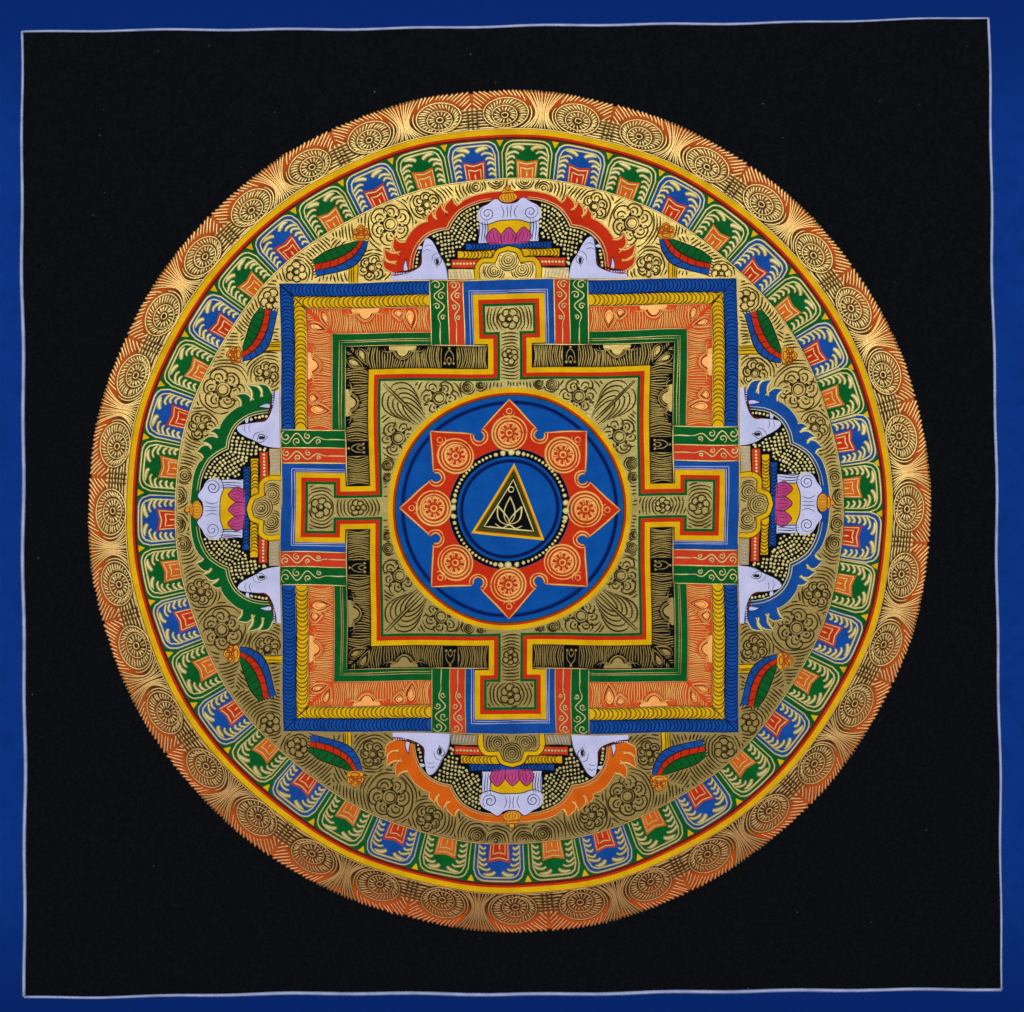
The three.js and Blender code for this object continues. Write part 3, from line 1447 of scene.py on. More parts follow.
@dataclass
class Parasols:
    """Eight tilted parasols in three bands, on short poles by the palace's corners."""

    # The edges of the bands on the top side, from the head to the foot of the parasol
    edges: tuple[Line, ...] = (
        ((65.3, 106.9), (71.1, 104.9), (77.1, 102.5), (81.5, 99.3)),
        ((63.3, 106.9), (67.1, 102.5), (73.5, 99.2), (81.0, 97.3)),
        ((61.4, 106.9), (65.1, 101.0), (71.9, 96.9), (80.5, 95.0)),
        ((59.8, 106.9), (61.3, 101.5), (66.1, 96.1), (79.9, 92.3)),
    )
    bands: tuple[Paint, ...] = (Paint.GREEN, Paint.RED, Paint.BLUE)
    # The pole's middle and half width, its foot, and the height under which it is seen
    pole: Point = (65.4, 1.7)
    foot: float = 91.4
    pole_top: float = 99.0
    pole_gap: float = 0.5
    # How far mirrored parasols stand from the others' place
    slip: Point = (-3.4, 1.6)
    knob_space: Line = ((61.5, 114.3), (66.0, 113.3))
    edge_points: int = 15
    knobs: tuple[Oval, ...] = (
        Oval(62.7, 108.5, 3.5, 1.6), Oval(60.8, 110.5, 1.5, 1.4),
        Oval(64.6, 110.5, 1.5, 1.4), Oval(62.7, 111.8, 1.6, 1.6),
    )

    def covers(self, points: Flat) -> np.ndarray:
        """Which points of the top side lie under a parasol or its pole.

        Args:
            points: the points.

        Returns:
            One truth value for each point.
        """
        space = np.vstack([self.knob_space, flow(*self.edges[0]), flow(*self.edges[-1])[::-1]])
        middle, half = self.pole
        covered = np.zeros(len(points), bool)
        for own in (points, points * (-1, 1) - self.slip):
            covered |= within(own, space)
            covered |= (np.abs(own[:, 0] - middle) < half + self.pole_gap) & (own[:, 1] < self.pole_top)
        return covered

    def build(self) -> list[Piece]:
        """Builds the bands, poles, knobs and folds.

        Returns:
            The pieces.
        """
        last = self.edge_points - 1
        layer = ColourLayer("parasol_colours", COLOUR_LIFT, True)
        front = ColourLayer("parasol_knobs", MOTIF_LIFT, True)
        work = BrushWork("parasol_lines", MOTIF_LIFT + 2 * LINE_RISE, True, seed=31)
        for eighth, _ in enumerate(placed(EIGHTHS, layer, front, work)):
            slip = np.array(self.slip) * (eighth % 2)
            edges = [flow(*edge, count=self.edge_points) + slip for edge in self.edges]
            middle, half = self.pole[0] + slip[0], self.pole[1]
            x = np.linspace(middle - half, middle + half, 5)
            top = np.column_stack([x, np.interp(x, *edges[3].T)])
            foot = level_under(top, self.foot)
            layer.area(foot, top, Paint.YELLOW, 2)
            for rod in (0, 2, 3, 4):
                work.stroke(straight(tuple(foot[rod]), tuple(top[rod])), 0.4, Paint.INK)
            for k, paint in enumerate(self.bands):
                layer.area(edges[k], edges[k + 1], paint, 2)
                for cut in range(2, last, 2):
                    fold = np.linspace(edges[k][cut], edges[k + 1][min(last, cut + 1)], 4)
                    work.stroke(fold, 0.3, Paint.INK, (0.3, 0.8))
            for edge in edges:
                work.stroke(edge, 0.45, Paint.INK)
            for cut in np.linspace(0, 1, 7):
                tip = edges[0][-1] * (1 - cut) + edges[3][-1] * cut
                work.stroke(straight(tuple(tip), tuple(tip + (0.9, -0.5))), 0.5, Paint.INK, (1.0, 0.3))
            for place in self.knobs:
                knob = Oval(place.x + slip[0], place.y + slip[1], place.wide, place.high)
                front.disc(knob, Paint.AMBER)
                work.stroke(knob.rim(step=0.7), 0.4, Paint.RUST)
                work.stroke(knob.rim(share=0.5, step=0.5), 0.45, Paint.RUST)
        return [layer.build(), front.build(), work.build()]


@dataclass(frozen=True)
class HatchBand:
    """A hatched band: its half sizes, where it starts, its paints and its half cloud."""

    near: float
    far: float
    start: float
    paint: Paint
    line: Paint
    jewelled: bool
    cloud: float


@dataclass
class Palace:
    """The square palace: its bands, T-shaped gateways, columns and the gold ground inside."""

    court: float = 51.2
    stem: float = 4.0
    stem_top: float = 70.8
    bar: float = 9.6
    bar_top: float = 81.0
    eaves: float = 91.5
    # Half sizes at which the bands meet, and where they start beside a gate
    ledge: float = 56.0
    sill: float = 65.4
    frieze: float = 70.5
    cornice: float = 80.8
    coping: float = 85.8
    brink: float = 91.2
    band_start: float = 31.6
    # The near edges of the rail, the post and the pillar beside a gate, and the rail's top
    rail: float = 14.4
    post: float = 18.2
    pillar: float = 24.4
    lintel: float = 86.2
    # The black square with its jewel: its middle, half width and the jewel's foot
    square_at: float = 24.4
    square_half: float = 3.2
    jewel_foot: float = 58.0
    disc_reach: float = 48.7
    hatch_pitch: float = 0.88
    cloud_size: float = 5.0
    pen: ScrollPen = ScrollPen()
    # Bands from inside to outside: half size, half size, paint
    bands: tuple[tuple[float, float, Paint], ...] = (
        (ledge, sill, Paint.BLACK),
        (sill, frieze, Paint.GREEN),
        (frieze, cornice, Paint.FLAME),
        (cornice, coping, Paint.YELLOW),
        (coping, brink, Paint.BLUE),
    )
    # Lines round the court and its gateways: distances from their outline, paint
    frames: tuple[tuple[float, float, Paint], ...] = (
        (0.0, 1.1, Paint.GREEN), (1.1, 2.7, Paint.RED), (2.7, 4.8, Paint.YELLOW),
    )
    gold_lines: tuple[float, ...] = (65.4, 67.0, 67.8, 70.6, 80.8)
    # Vines on the columns: middle, reach
    vines: Line = ((21.3, 1.7), (28.0, 2.1))
    # Flowers in the corners of the court, on one eighth
    rosettes: tuple[Rosette, ...] = (
        Rosette(28.0, 44.2, 8.0, 6), Rosette(11.8, 49.6, 1.7, 0), Rosette(16.9, 48.8, 2.1, 0),
    )
    # The palm on the court's diagonal: distances along it, and half widths there
    palm: tuple[tuple[float, ...], ...] = ((48, 55, 58, 63, 67, 69), (3.2, 5.8, 7.4, 7.8, 5.6, 1.4))
    hatches: tuple[HatchBand, ...] = (
        HatchBand(70.9, 80.5, 32.2, Paint.PEACH, Paint.RUST, True, 57.4),
        HatchBand(56.2, 65.0, 9.4, Paint.KHAKI, Paint.INK, False, 42.8),
    )

    def wall(self) -> Flat:
        """The court's outline with its four gateways, anticlockwise.

        Returns:
            The outline's corners.
        """
        half = [
            (self.court, self.court), (self.stem, self.court), (self.stem, self.stem_top),
            (self.bar, self.stem_top), (self.bar, self.bar_top),
        ]
        side = np.array(half + [(-x, y) for x, y in half[:0:-1]])
        return np.vstack([spun(side, quarter) for quarter in range(4)])

    def frame_line(self, layer: ColourLayer, near: float, far: float, paint: Paint) -> None:
        """Paints a line of even width round the court and its gateways.

        Args:
            layer: takes the colour.
            near: its inner distance from the court's outline.
            far: its outer distance.
            paint: the paint.
        """
        rails = [beside(self.wall(), -distance, closed=True) for distance in (near, far)]
        rails = [np.vstack([rail, rail[:1]]) for rail in rails]
        for k in range(len(rails[0]) - 1):
            count = math.ceil(math.dist(rails[1][k], rails[1][k + 1]) / CELL) + 1
            layer.area(*(np.linspace(rail[k], rail[k + 1], count) for rail in rails), paint)

    def walls(self) -> Piece:
        """Builds every flat colour of the palace.

        Returns:
            The piece.
        """
        layer = ColourLayer("palace_colours", COLOUR_LIFT, True)
        for _ in placed(EIGHTHS, layer):
            for near, far, paint in self.bands:
                start = self.stem + self.frames[-1][1] if paint is Paint.BLACK else self.band_start
                count = math.ceil((far - start) / CELL) + 1
                low, high = (np.linspace((start, level), (level, level), count) for level in (near, far))
                layer.area(low, high, paint, math.ceil((far - near) / CELL))
            for low, high, paint in (
                ((self.post, self.sill), (self.pillar, self.eaves), Paint.CORAL),
                ((self.pillar, self.sill), (self.band_start, self.eaves), Paint.GREEN),
                ((self.rail, self.sill), (self.post, self.lintel), Paint.BLUE),
                ((0.0, self.coping), (self.post, self.eaves), Paint.BLUE),
            ):
                layer.block(low, high, paint)
        for _ in placed(QUARTERS, layer):
            layer.block((-self.stem, self.court), (self.stem, self.stem_top), Paint.BRONZE)
            layer.block((-self.bar, self.stem_top), (self.bar, self.bar_top), Paint.BRONZE)
        for near, far, paint in self.frames:
            self.frame_line(layer, near, far, paint)
        layer.block((-self.court, -self.court), (self.court, self.court), Paint.BRONZE)
        return layer.build()

    def scales(self, work: BrushWork, near: float, far: float, pitch: float, paint: Paint) -> None:
        """Overlapping scales along a band on one eighth.

        Args:
            work: takes the lines.
            near: the band's inner half size.
            far: its outer half size.
            pitch: the distance between scales.
            paint: the lines' paint.
        """
        middle, half = (near + far) / 2, (far - near) / 2 - 0.2
        for x in np.arange(self.band_start + pitch, far, pitch):
            scale = Oval(x - pitch * 0.8, middle, pitch * 1.5, half).rim(-96, 92)
            work.trace(scale, scale[:, 0] < scale[:, 1] + 0.1, 0.44, paint, (0.5, 0.6))
        work.stroke(straight((self.band_start, near), (near, near)), 0.5, paint)
        work.stroke(straight((near, near), (far, far)), 0.45, paint)

    def hatch(self, work: BrushWork, motifs: ColourLayer, band: HatchBand) -> None:
        """Hatching, a half cloud and drops in one band on one eighth.

        Args:
            work: takes the lines.
            motifs: takes the colours.
            band: the band.
        """
        near, far = band.near, band.far
        x = np.linspace(-1.08, 1.08, 41)
        middle = 0.86 * np.sqrt(np.maximum(0.0, 1 - (x / 0.56) ** 2))
        side = 0.2 + np.sqrt(np.maximum(0.0, 0.3**2 - (np.abs(x) - 0.78) ** 2))
        size = self.cloud_size
        cloud = np.column_stack([band.cloud + size * x, far - size * np.maximum(middle, side)])
        motifs.area(level_under(cloud, far), cloud, band.paint, 2)
        shapes = [cloud]
        drops = [leaf((0.92 * far, 0.985 * far), (near + 1.2, near + 2.6), 2.6)]
        if band.jewelled:
            drops.append(leaf((40.0, far - 1.0), (39.4, near + 1.2), 3.6))
            drops.append(leaf((44.4, far - 0.8), (44.0, far - 4.4), 3.4))
        for sides in drops:
            motifs.leaf(sides, band.paint)
            shapes.append(loop(sides))
        for outline in shapes:
            work.stroke(outline, 0.55, band.line)
            if outline is not cloud:
                work.stroke(resized(outline, 0.66), 0.34, band.line)
            for grow in (1.3, 1.62):
                grown = resized(outline, grow)
                inside = (grown[:, 1] > near) & (grown[:, 1] < far) & (grown[:, 0] < grown[:, 1] - 0.3)
                work.trace(grown, inside, 0.55, band.paint)
        for x in np.arange(band.start, far, self.hatch_pitch):
            bow = 1.1 * math.sin(x / 4.0)
            path = flow((x, near), (x + bow, (near + far) / 2), (x + 0.3 * bow, far), count=14)
            keep = path[:, 0] < path[:, 1] - 0.5
            for outline in shapes:
                keep &= ~within(path, resized(outline, 1.8))
            if not band.jewelled:
                keep &= np.abs(path[:, 0] - self.square_at) > self.square_half
            work.trace(path, keep, 0.7, band.paint, (0.8, 0.8))

    def jewels(self, work: BrushWork) -> None:
        """The small jewel on the black square of one eighth.

        Args:
            work: takes the lines.
        """
        x, y = self.square_at, self.jewel_foot
        for share in (1.0, 0.5):
            hood = flow((-1.7, 0.6), (-1.5, 3.6), (0, 5.4), (1.5, 3.6), (1.7, 0.6), count=13) * share
            work.stroke(hood + (x, y), 0.6, Paint.KHAKI)
        for dx, dy in ((-1.7, 0.2), (0.0, 0.1), (1.7, 0.2), (0.0, 6.2)):
            work.dab(x + dx, y + dy, 0.7, Paint.KHAKI)
        for dx in (-self.square_half, self.square_half):
            work.stroke(straight((x + dx, 55.9), (x + dx, 65.1)), 0.5, Paint.KHAKI)

    def columns(self, work: BrushWork) -> None:
        """Gold edges, and vines that climb the columns of one eighth.

        Args:
            work: takes the lines.
        """
        for x, width in ((self.post, 0.8), (self.pillar, 0.7), (self.band_start, 0.7)):
            work.stroke(straight((x, self.sill), (x, self.eaves)), width, Paint.GOLD)
        for shift in (0.2, 1.1):
            corner = (14.6 + shift, self.lintel + shift)
            rail = straight((corner[0], self.sill), corner, (0.0, corner[1]))
            work.stroke(rail, 0.4, Paint.WHITE)
        work.stroke(straight((0.0, self.eaves), (self.band_start, self.eaves)), 0.5, Paint.GOLD)
        for middle, reach in self.vines:
            y = np.linspace(self.sill + 7.5, self.eaves - 0.6, 34)
            swing = reach * np.clip((y - y[0]) / 9, 0, 1)
            vine = np.column_stack([middle + swing * np.sin((y - self.eaves) * 0.72), y])
            for path in (vine, straight((middle, self.sill), (middle, y[0]))):
                work.stroke(path, 0.65, Paint.CREAM)
            for k in range(4):
                hand = 1 if k % 2 else -1
                radii = (0.25, reach * (0.95 - 0.14 * k))
                curl = spiral(middle - 0.5 * reach * hand, 89.4 - 4.36 * k, radii, 1.2 * hand, 90)
                work.stroke(curl, 0.6, Paint.CREAM)

    def edges(self, work: BrushWork) -> None:
        """Gold lines along the bands of one eighth.

        Args:
            work: takes the lines.
        """
        for half in self.gold_lines:
            work.stroke(straight((self.band_start, half), (half, half)), 0.36, Paint.GOLD)
        start = (self.stem + 4.9, self.sill)
        work.stroke(straight(start, (self.band_start, self.sill)), 0.6, Paint.GOLD)

    def fronds(self) -> list[Flat]:
        """The lines of half a palm on the court's diagonal: its stem, and fronds from the tip down.

        Returns:
            The lines.
        """
        rows = [((47.0, 0.6), (58.0, 0.5), (70.8, 0.4))]
        for k in range(5):
            top, wide = 67.4 - 2.1 * k, 6.9 - 1.16 * k
            rows.append((
                (top, 0.9), (top + 0.2, 0.4 * wide), (top - 1.6, 0.8 * wide), (top - 4.6, wide),
                (top - 8.0, 0.95 * wide), (top - 11.0, 0.8 * wide),
            ))
        slanted = [(flow(*row, count=22) * math.sqrt(0.5)).T for row in rows]
        return [np.column_stack([along - aside, along + aside]) for along, aside in slanted]

    def scrolls(self, inks: Inks) -> None:
        """Dark scrolls on the gold of the court's corners and the gateways.

        Args:
            inks: take the lines and their shades.
        """
        flowers = []
        for placing in EIGHTHS:
            for row in self.rosettes:
                x, y = placing(np.array([(row.x, row.y)]))[0]
                flowers.append(Rosette(x, y, row.reach, row.lobes))

        def outside(points: Flat) -> np.ndarray:
            """Which points lie outside the round court."""
            return np.hypot(*(points + HAND.drift(points) - COURT_CENTRE).T) > self.disc_reach

        def free(points: Flat) -> np.ndarray:
            """Which points of the court are bare gold.

            Args:
                points: the points.

            Returns:
                One truth value for each point.
            """
            low, high = np.sort(np.abs(points), axis=1).T
            along, aside = (high + low) * math.sqrt(0.5), (high - low) * math.sqrt(0.5)
            palm = aside < np.interp(along, *self.palm)
            return (high < self.court - 0.3) & outside(points) & ~palm

        self.pen.field(inks, flowers, free, 12.0)
        fronds = self.fronds()
        for placing, _ in zip(EIGHTHS, placed(EIGHTHS, *inks)):
            for path in fronds:
                self.pen.mark(inks, path, lambda points, put=placing: outside(put(points)))
        for _ in placed(QUARTERS, *inks):
            for flower, low, high, half in (
                (Rosette(0, 61.0, 3.4, 6), 51.6, 70.4, 3.8), (Rosette(0, 75.9, 4.4, 6), 71.0, 80.8, 9.3),
            ):
                room = np.array([(-half, low), (half, low), (half, high), (-half, high)])
                self.pen.field(inks, [flower], partial(within, outline=room), 11.0)

    def build(self) -> list[Piece]:
        """Builds the palace.

        Returns:
            The pieces.
        """
        motifs = ColourLayer("band_motifs", MOTIF_LIFT, True)
        gold = BrushWork("palace_gold", MOTIF_LIFT + LINE_RISE, True, seed=41)
        dark = BrushWork("palace_dark", COLOUR_LIFT + LINE_RISE, True, seed=43)
        inks = (
            BrushWork("court_lines", COLOUR_LIFT + INK_RISE, True, seed=45),
            BrushWork("court_shades", COLOUR_LIFT, True, seed=47),
        )
        for _ in placed(EIGHTHS, motifs, gold, dark):
            for band in self.hatches:
                self.hatch(gold, motifs, band)
            self.jewels(gold)
            self.columns(gold)
            self.edges(gold)
            self.scales(dark, self.coping, self.brink, 1.5, Paint.NIGHT)
            self.scales(dark, self.cornice, self.coping, 1.75, Paint.INK)
        self.scrolls(inks)
        return [self.walls(), *(layer.build() for layer in (motifs, gold, dark, *inks))]


@dataclass
class Arches:
    """The lobed arches over the four gates, with flames, canopy, lotus and pebbled ground."""

    base: float = 91.7
    # Right halves of the arch's inner and outer edge: the top lobe, then the side lobe
    inner_lobes: tuple[Line, ...] = (
        ((0, 124.0), (10.5, 123.2), (18.4, 120.0), (22.3, 115.6), (24, 112.2)),
        ((24, 112.2), (29, 111.2), (34, 108.2), (37.6, 102), (38.8, base)),
    )
    outer_lobes: tuple[Line, ...] = (
        ((0, 127.5), (10, 126.9), (17.4, 124.6), (21.8, 120.7), (29, 116.2)),
        ((29, 116.2), (35, 114.8), (39.6, 110.8), (42.4, 105.4), (44.8, 99.6), (46.6, base)),
    )
    # Tongues of flame on the right half: near foot, far foot, tip
    flames: tuple[tuple[Point, Point, Point], ...] = (
        ((19.6, 121.6), (25.2, 117.2), (22.4, 125.3)),
        ((23.8, 118.6), (28.8, 115.2), (26.9, 122.7)),
        ((27.8, 116.0), (32.2, 114.2), (30.7, 119.8)),
        ((40.8, 107.2), (43.8, 102.0), (45.9, 109.6)),
        ((42.8, 103.4), (45.0, 98.4), (50.2, 105.2)),
        ((44.2, 99.4), (46.0, 94.6), (50.3, 101.0)),
    )
    paints: tuple[Paint, ...] = (Paint.RED, Paint.GREEN, Paint.ORANGE, Paint.BLUE)
    # The stepped roof: half width, bottom, top, where the jewel's edge crosses it, paint
    roof_rows: tuple[tuple[float, float, float, float, Paint], ...] = (
        (16.9, 103.8, 106.4, 4.0, Paint.BLUE),
        (20.2, 100.4, 103.4, 7.0, Paint.YELLOW),
        (22.7, 96.5, 100.0, 12.4, Paint.CORAL),
        (24.0, base, 96.1, 13.4, Paint.KHAKI),
    )
    # The right head's upper edge from its neck over the trunk to the jaw, and its foot
    head_line: Line = (
        (24.2, 92.0), (24.6, 95.4), (25.6, 98.8), (27.4, 101.8), (28.9, 105.0), (30.6, 107.7),
        (32.4, 108.8), (33.7, 107.9), (34.3, 105.6), (34.7, 102.8), (35.0, 100.0), (35.4, 97.4),
        (37.2, 95.9), (40.2, 94.7), (43.6, 93.9), (47.2, 93.6),
    )
    head_foot: float = 91.0
    # Lines on the right head: three points, width, paint
    head_marks: tuple[tuple[Point, Point, Point, float, Paint], ...] = (
        ((27.2, 101.0), (26.9, 99.0), (28.7, 96.6), 0.35, Paint.INK),
        ((27.2, 101.0), (29.7, 99.6), (28.7, 96.6), 0.4, Paint.INK),
        ((27.6, 102.9), (30.2, 101.8), (31.0, 98.8), 0.3, Paint.NIGHT),
        ((30.4, 105.2), (32.2, 105.9), (33.9, 105.2), 0.3, Paint.NIGHT),
        ((30.9, 103.4), (32.6, 104.0), (34.3, 103.4), 0.3, Paint.NIGHT),
        ((35.0, 101.4), (35.5, 97.8), (38.4, 96.2), 1.0, Paint.MAROON),
        ((37.6, 96.5), (42.0, 95.0), (47.6, 94.4), 1.1, Paint.MAROON),
    )
    # Right halves of the yellow ruffle, and of the canopy's hem and crest
    ruffle: Line = ((0, 116.6), (2.6, 116.0), (5, 116.4), (8.2, 115.8))
    hem: Line = ((0, 115.7), (4.4, 115.5), (8.4, 114.3), (11.4, 115.0), (12.7, 116.6))
    crest: Line = (
        (0, 122.3), (2.9, 122.8), (4.5, 124.3), (6.0, 124.5), (8.4, 122.7), (10.8, 121.5),
        (12.4, 119.7), (12.8, 117.8),
    )
    finial: tuple[Oval, ...] = (
        Oval(-0.4, 124.8, 3.6, 2.1), Oval(-0.4, 127.1, 2.5, 0.7), Oval(-0.4, 128.6, 1.1, 1.0),
    )
    # The finial's foot, its half width, and the canopy's half width where it hides the arch
    finial_foot: float = 126.5
    finial_half: float = 2.4
    canopy_half: float = 7.0
    jewel_eyes: Line = ((0.0, 99.4), (-5.6, 95.2), (5.6, 95.2))
    jewel_rings: tuple[float, ...] = (0.8, 1.7, 2.6, 3.5, 4.4)
    # Pebbles: first row, distance that none reaches, distance of rows, distance in a row
    pebble_rows: tuple[float, float, float] = (1.2, 30.0, 1.6)
    pebble_pitch: float = 1.5

    def whole(self, lobes: tuple[Line, ...]) -> Flat:
        """A line over the whole arch, from the left foot to the right foot."""
        return both_sides(np.vstack([flow(*lobes[0], count=12), flow(*lobes[1], count=14)[1:]]))

    def covers(self, points: Flat) -> np.ndarray:
        """Which points lie under the arch or its flames.

        Args:
            points: the points.

        Returns:
            One truth value for each point.
        """
        covered = within(points, beside(self.whole(self.outer_lobes), 0.7))
        for flame in self.flames:
            covered |= within(folded(points), resized(loop(self.tongue(*flame)), 1.25))
        return covered

    def tongue(self, near: Point, far: Point, tip: Point) -> Sides:
        """The two sides of a hooked tongue of flame.

        Args:
            near: its foot on the side that it hooks to.
            far: its other foot.
            tip: where it ends.

        Returns:
            The near side and the far side, both from foot to tip.
        """
        sides = []
        for foot, bow in ((near, 0.16), (far, 0.22)):
            way = np.subtract(tip, foot)
            middle = np.add(foot, tip) / 2 - left_of(way) * bow
            sides.append(flow(foot, tuple(middle), tip, count=13))
        return sides[0], sides[1]

    def behind(self, points: Flat) -> np.ndarray:
        """Which points of the arch's edges the white heads, the canopy or its finial cover."""
        half = np.where(points[:, 1] > self.finial_foot, self.finial_half, self.canopy_half)
        return within(folded(points), self.head_space(24.2, 47.2)) | (np.abs(points[:, 0]) < half)

    def trefoil(self, inset: float) -> Flat:
        """The outline of the three-lobed jewel on the gate's roof.

        Args:
            inset: how far inside its edge.

        Returns:
            The outline's points.
        """
        lobe = flow((0, 105.2), (4.6, 103.7), (6.4, 100.4), count=8)
        side = flow((6.4, 100.4), (10.9, 100.2), (13.4, 96.6), (13.2, self.base), count=9)
        return beside(both_sides(np.vstack([lobe, side[1:]])), -inset)

    def head(self) -> Flat:
        """The upper edge of the white head at the right foot."""
        return flow(*self.head_line, count=46)

    def head_space(self, near: float, far: float, gap: float = 0.0) -> Flat:
        """The closed outline of the right head between two feet, or of the space round it."""
        feet = [(near, self.head_foot)], [(far, self.head_foot)]
        return np.vstack([feet[0], beside(self.head(), gap), feet[1]])

    def spurs(self, grow: float = 0.0) -> tuple[Sides, ...]:
        """The small spur on the right head's trunk, and its tusk."""
        spur = leaf((34.2, 104.8), (37.4, 104.0), 1.6 + grow, 0.4)
        return spur, leaf((40.6, 94.0), (41.0, 100.4), 1.7 + grow, -0.6)

    def clear(self, points: Flat) -> np.ndarray:
        """Which points under the arch are free for pebbles.

        Args:
            points: the points.

        Returns:
            One truth value for each point.
        """
        right = folded(points)
        x, y = right.T
        free = (y > self.base + 0.9) & ~((x < 12.4) & (y > 105)) & ~within(points, self.trefoil(-0.8))
        for half, low, high, _, _ in self.roof_rows:
            free &= ~((x < half + 0.7) & (y > low - 0.5) & (y < high + 0.7))
        for part in self.spurs(1.6):
            free &= ~within(right, loop(part))
        return free & ~within(right, self.head_space(23.2, 48.5, 0.85))

    def arch(self, ground: ColourLayer, layer: ColourLayer, work: BrushWork, paint: Paint) -> None:
        """The black space, the arch and its flames on one side.

        Args:
            ground: takes the black and the arch.
            layer: takes the flames.
            work: takes the lines.
            paint: the arch's paint.
        """
        inner, outer = self.whole(self.inner_lobes), self.whole(self.outer_lobes)
        sill = np.linspace(inner[0], inner[-1], len(inner))
        ground.area(sill, inner, Paint.BLACK, 7)
        ground.area(inner, outer, paint, 2)
        line = Paint.PEACH if paint in (Paint.RED, Paint.ORANGE) else Paint.CREAM
        rail = straight(*outer, step=0.5)
        bare = ~self.behind(rail)
        for way in (1, -1):
            for flame in self.flames:
                near, far = (side * (way, 1) for side in self.tongue(*flame))
                layer.leaf((near, far), paint)
                bare &= ~within(rail, loop((near, far)))
                for side, width in ((near, 1.35), (far, 0.85)):
                    work.trace(side, ~within(side, beside(outer, -0.3)), width, line, (0.8, 0.5))
        work.trace(rail, bare, 0.6, line)
        for shift, width in ((0.15, 0.55), (1.15, 0.45)):
            path = straight(*beside(inner, shift), step=0.8)
            work.trace(path, ~self.behind(path), width, Paint.CREAM)

    def roof(self, layer: ColourLayer, front: ColourLayer, work: BrushWork) -> None:
        """The stepped roof with the jewel in its middle, on one side.

        Args:
            layer: takes the steps.
            front: takes the jewel.
            work: takes the lines.
        """
        for half, low, high, start, paint in self.roof_rows:
            layer.block((-half, low), (half, high), paint)
            for way in (1, -1):
                for level in (low, high):
                    work.stroke(straight((start * way, level), (half * way, level)), 0.35, Paint.INK)
                for x in np.arange(start + 1.2, half - 0.3, 1.35):
                    if paint is Paint.CORAL:
                        work.dab(x * way, (low + high) / 2, 0.6, Paint.CREAM)
                    elif paint is Paint.KHAKI:
                        slant = straight((x * way, low + 0.4), ((x + 0.9) * way, high - 0.4))
                        work.stroke(slant, 0.5, Paint.WHITE)
                    else:
                        scale = Oval((x - 0.6) * way, (low + high) / 2, 1.2, (high - low) / 2 - 0.2)
                        line = Paint.NIGHT if paint is Paint.BLUE else Paint.INK
                        work.stroke(scale.rim(-85, 85), 0.42, line)
        outer, inner = (np.maximum(self.trefoil(inset), (-99.0, self.base)) for inset in (0.0, 2.1))
        front.area(inner, outer, Paint.YELLOW)
        front.area(level_under(inner, self.base), inner, Paint.KHAKI, 3)
        for path in (outer, inner):
            work.stroke(path, 0.5, Paint.INK)
        upper = self.jewel_eyes[0]
        for x, y in self.jewel_eyes:
            for radius in self.jewel_rings:
                rim = arc(x, y, radius, 70, 430)
                keep = within(rim, self.trefoil(2.5)) & (rim[:, 1] > self.base + 0.3)
                if (x, y) != upper:
                    keep &= (np.hypot(*(rim - upper).T) > 4.6) & (rim[:, 0] * x > 0.3)
                work.trace(rim, keep, 0.56, Paint.INK)

    def shrine(self, layer: ColourLayer, front: ColourLayer, work: BrushWork) -> None:
        """The lotus under its white canopy, on one side.

        Args:
            layer: takes the back colours.
            front: takes the front colours.
            work: takes the lines.
        """
        ruffle = flow(*both_sides(np.array(self.ruffle)), count=19)
        layer.area(level_under(ruffle, 106.2), ruffle, Paint.YELLOW, 2)
        for x, lean in ((-5.2, -0.7), (5.2, 0.7), (0.0, 0.0)):
            dome = flow(
                (x - 2.5, 106.0), (x - 3.2 + lean, 108.8), (x - 1.7 + lean, 111.2), (x + lean, 112.5),
                (x + 1.7 + lean, 111.2), (x + 3.2 + lean, 108.8), (x + 2.5, 106.0), count=19,
            )
            foot = np.linspace((x - 2.3, 105.9), (x + 2.3, 105.9), len(dome))
            front.area(foot, dome, Paint.PINK, 2)
            work.stroke(dome, 0.4, Paint.MAROON)
            for share in (-1.2, 0.0, 1.2):
                bow, tip = (x + share * 1.4 + lean, 109), (x + share * 0.5 + lean, 111.2)
                work.stroke(flow((x + share, 106.8), bow, tip, count=6), 0.3, Paint.MAROON)
        low, high = (flow(*both_sides(np.array(half)), count=31) for half in (self.hem, self.crest))
        front.area(low, high, Paint.WHITE, 2)
        for edge in (low, high):
            work.stroke(edge, 0.4, Paint.NIGHT)
        for way in (1, -1):
            tassel = straight((8.4 * way, 106.6), (11.9 * way, 106.6))
            layer.area(tassel, level_under(tassel, 116.4), Paint.WHITE, 3)
            work.stroke(spiral(8.5 * way, 118.5, (0.4, 3.0), 1.9 * way, 90), 0.42, Paint.NIGHT)
            for x in (8.5, 9.6, 10.7, 11.8):
                fall = flow((x * way, 115.6), (x * way + 0.3, 112), (x * way - 0.2, 107), count=7)
                work.stroke(fall, 0.35, Paint.NIGHT)
            for x in (0.6, 2.0):
                flute = flow((x * way * 1.6, 121.6), (x * way, 119), (x * way * 1.4, 116.4), count=6)
                work.stroke(flute, 0.35, Paint.NIGHT)
        bowl = self.finial[0]
        for oval in self.finial:
            front.disc(oval, Paint.AMBER)
            work.stroke(oval.rim(step=0.7), 0.4, Paint.RUST)
        for x in (-2.2, -1.1, 0.0, 1.1, 2.2):
            flute = flow((x * 0.8, 1.5), (x * 1.2, 0.0), (x * 0.7, -1.6), count=7)
            work.stroke(flute + (bowl.x, bowl.y), 0.36, Paint.RUST)

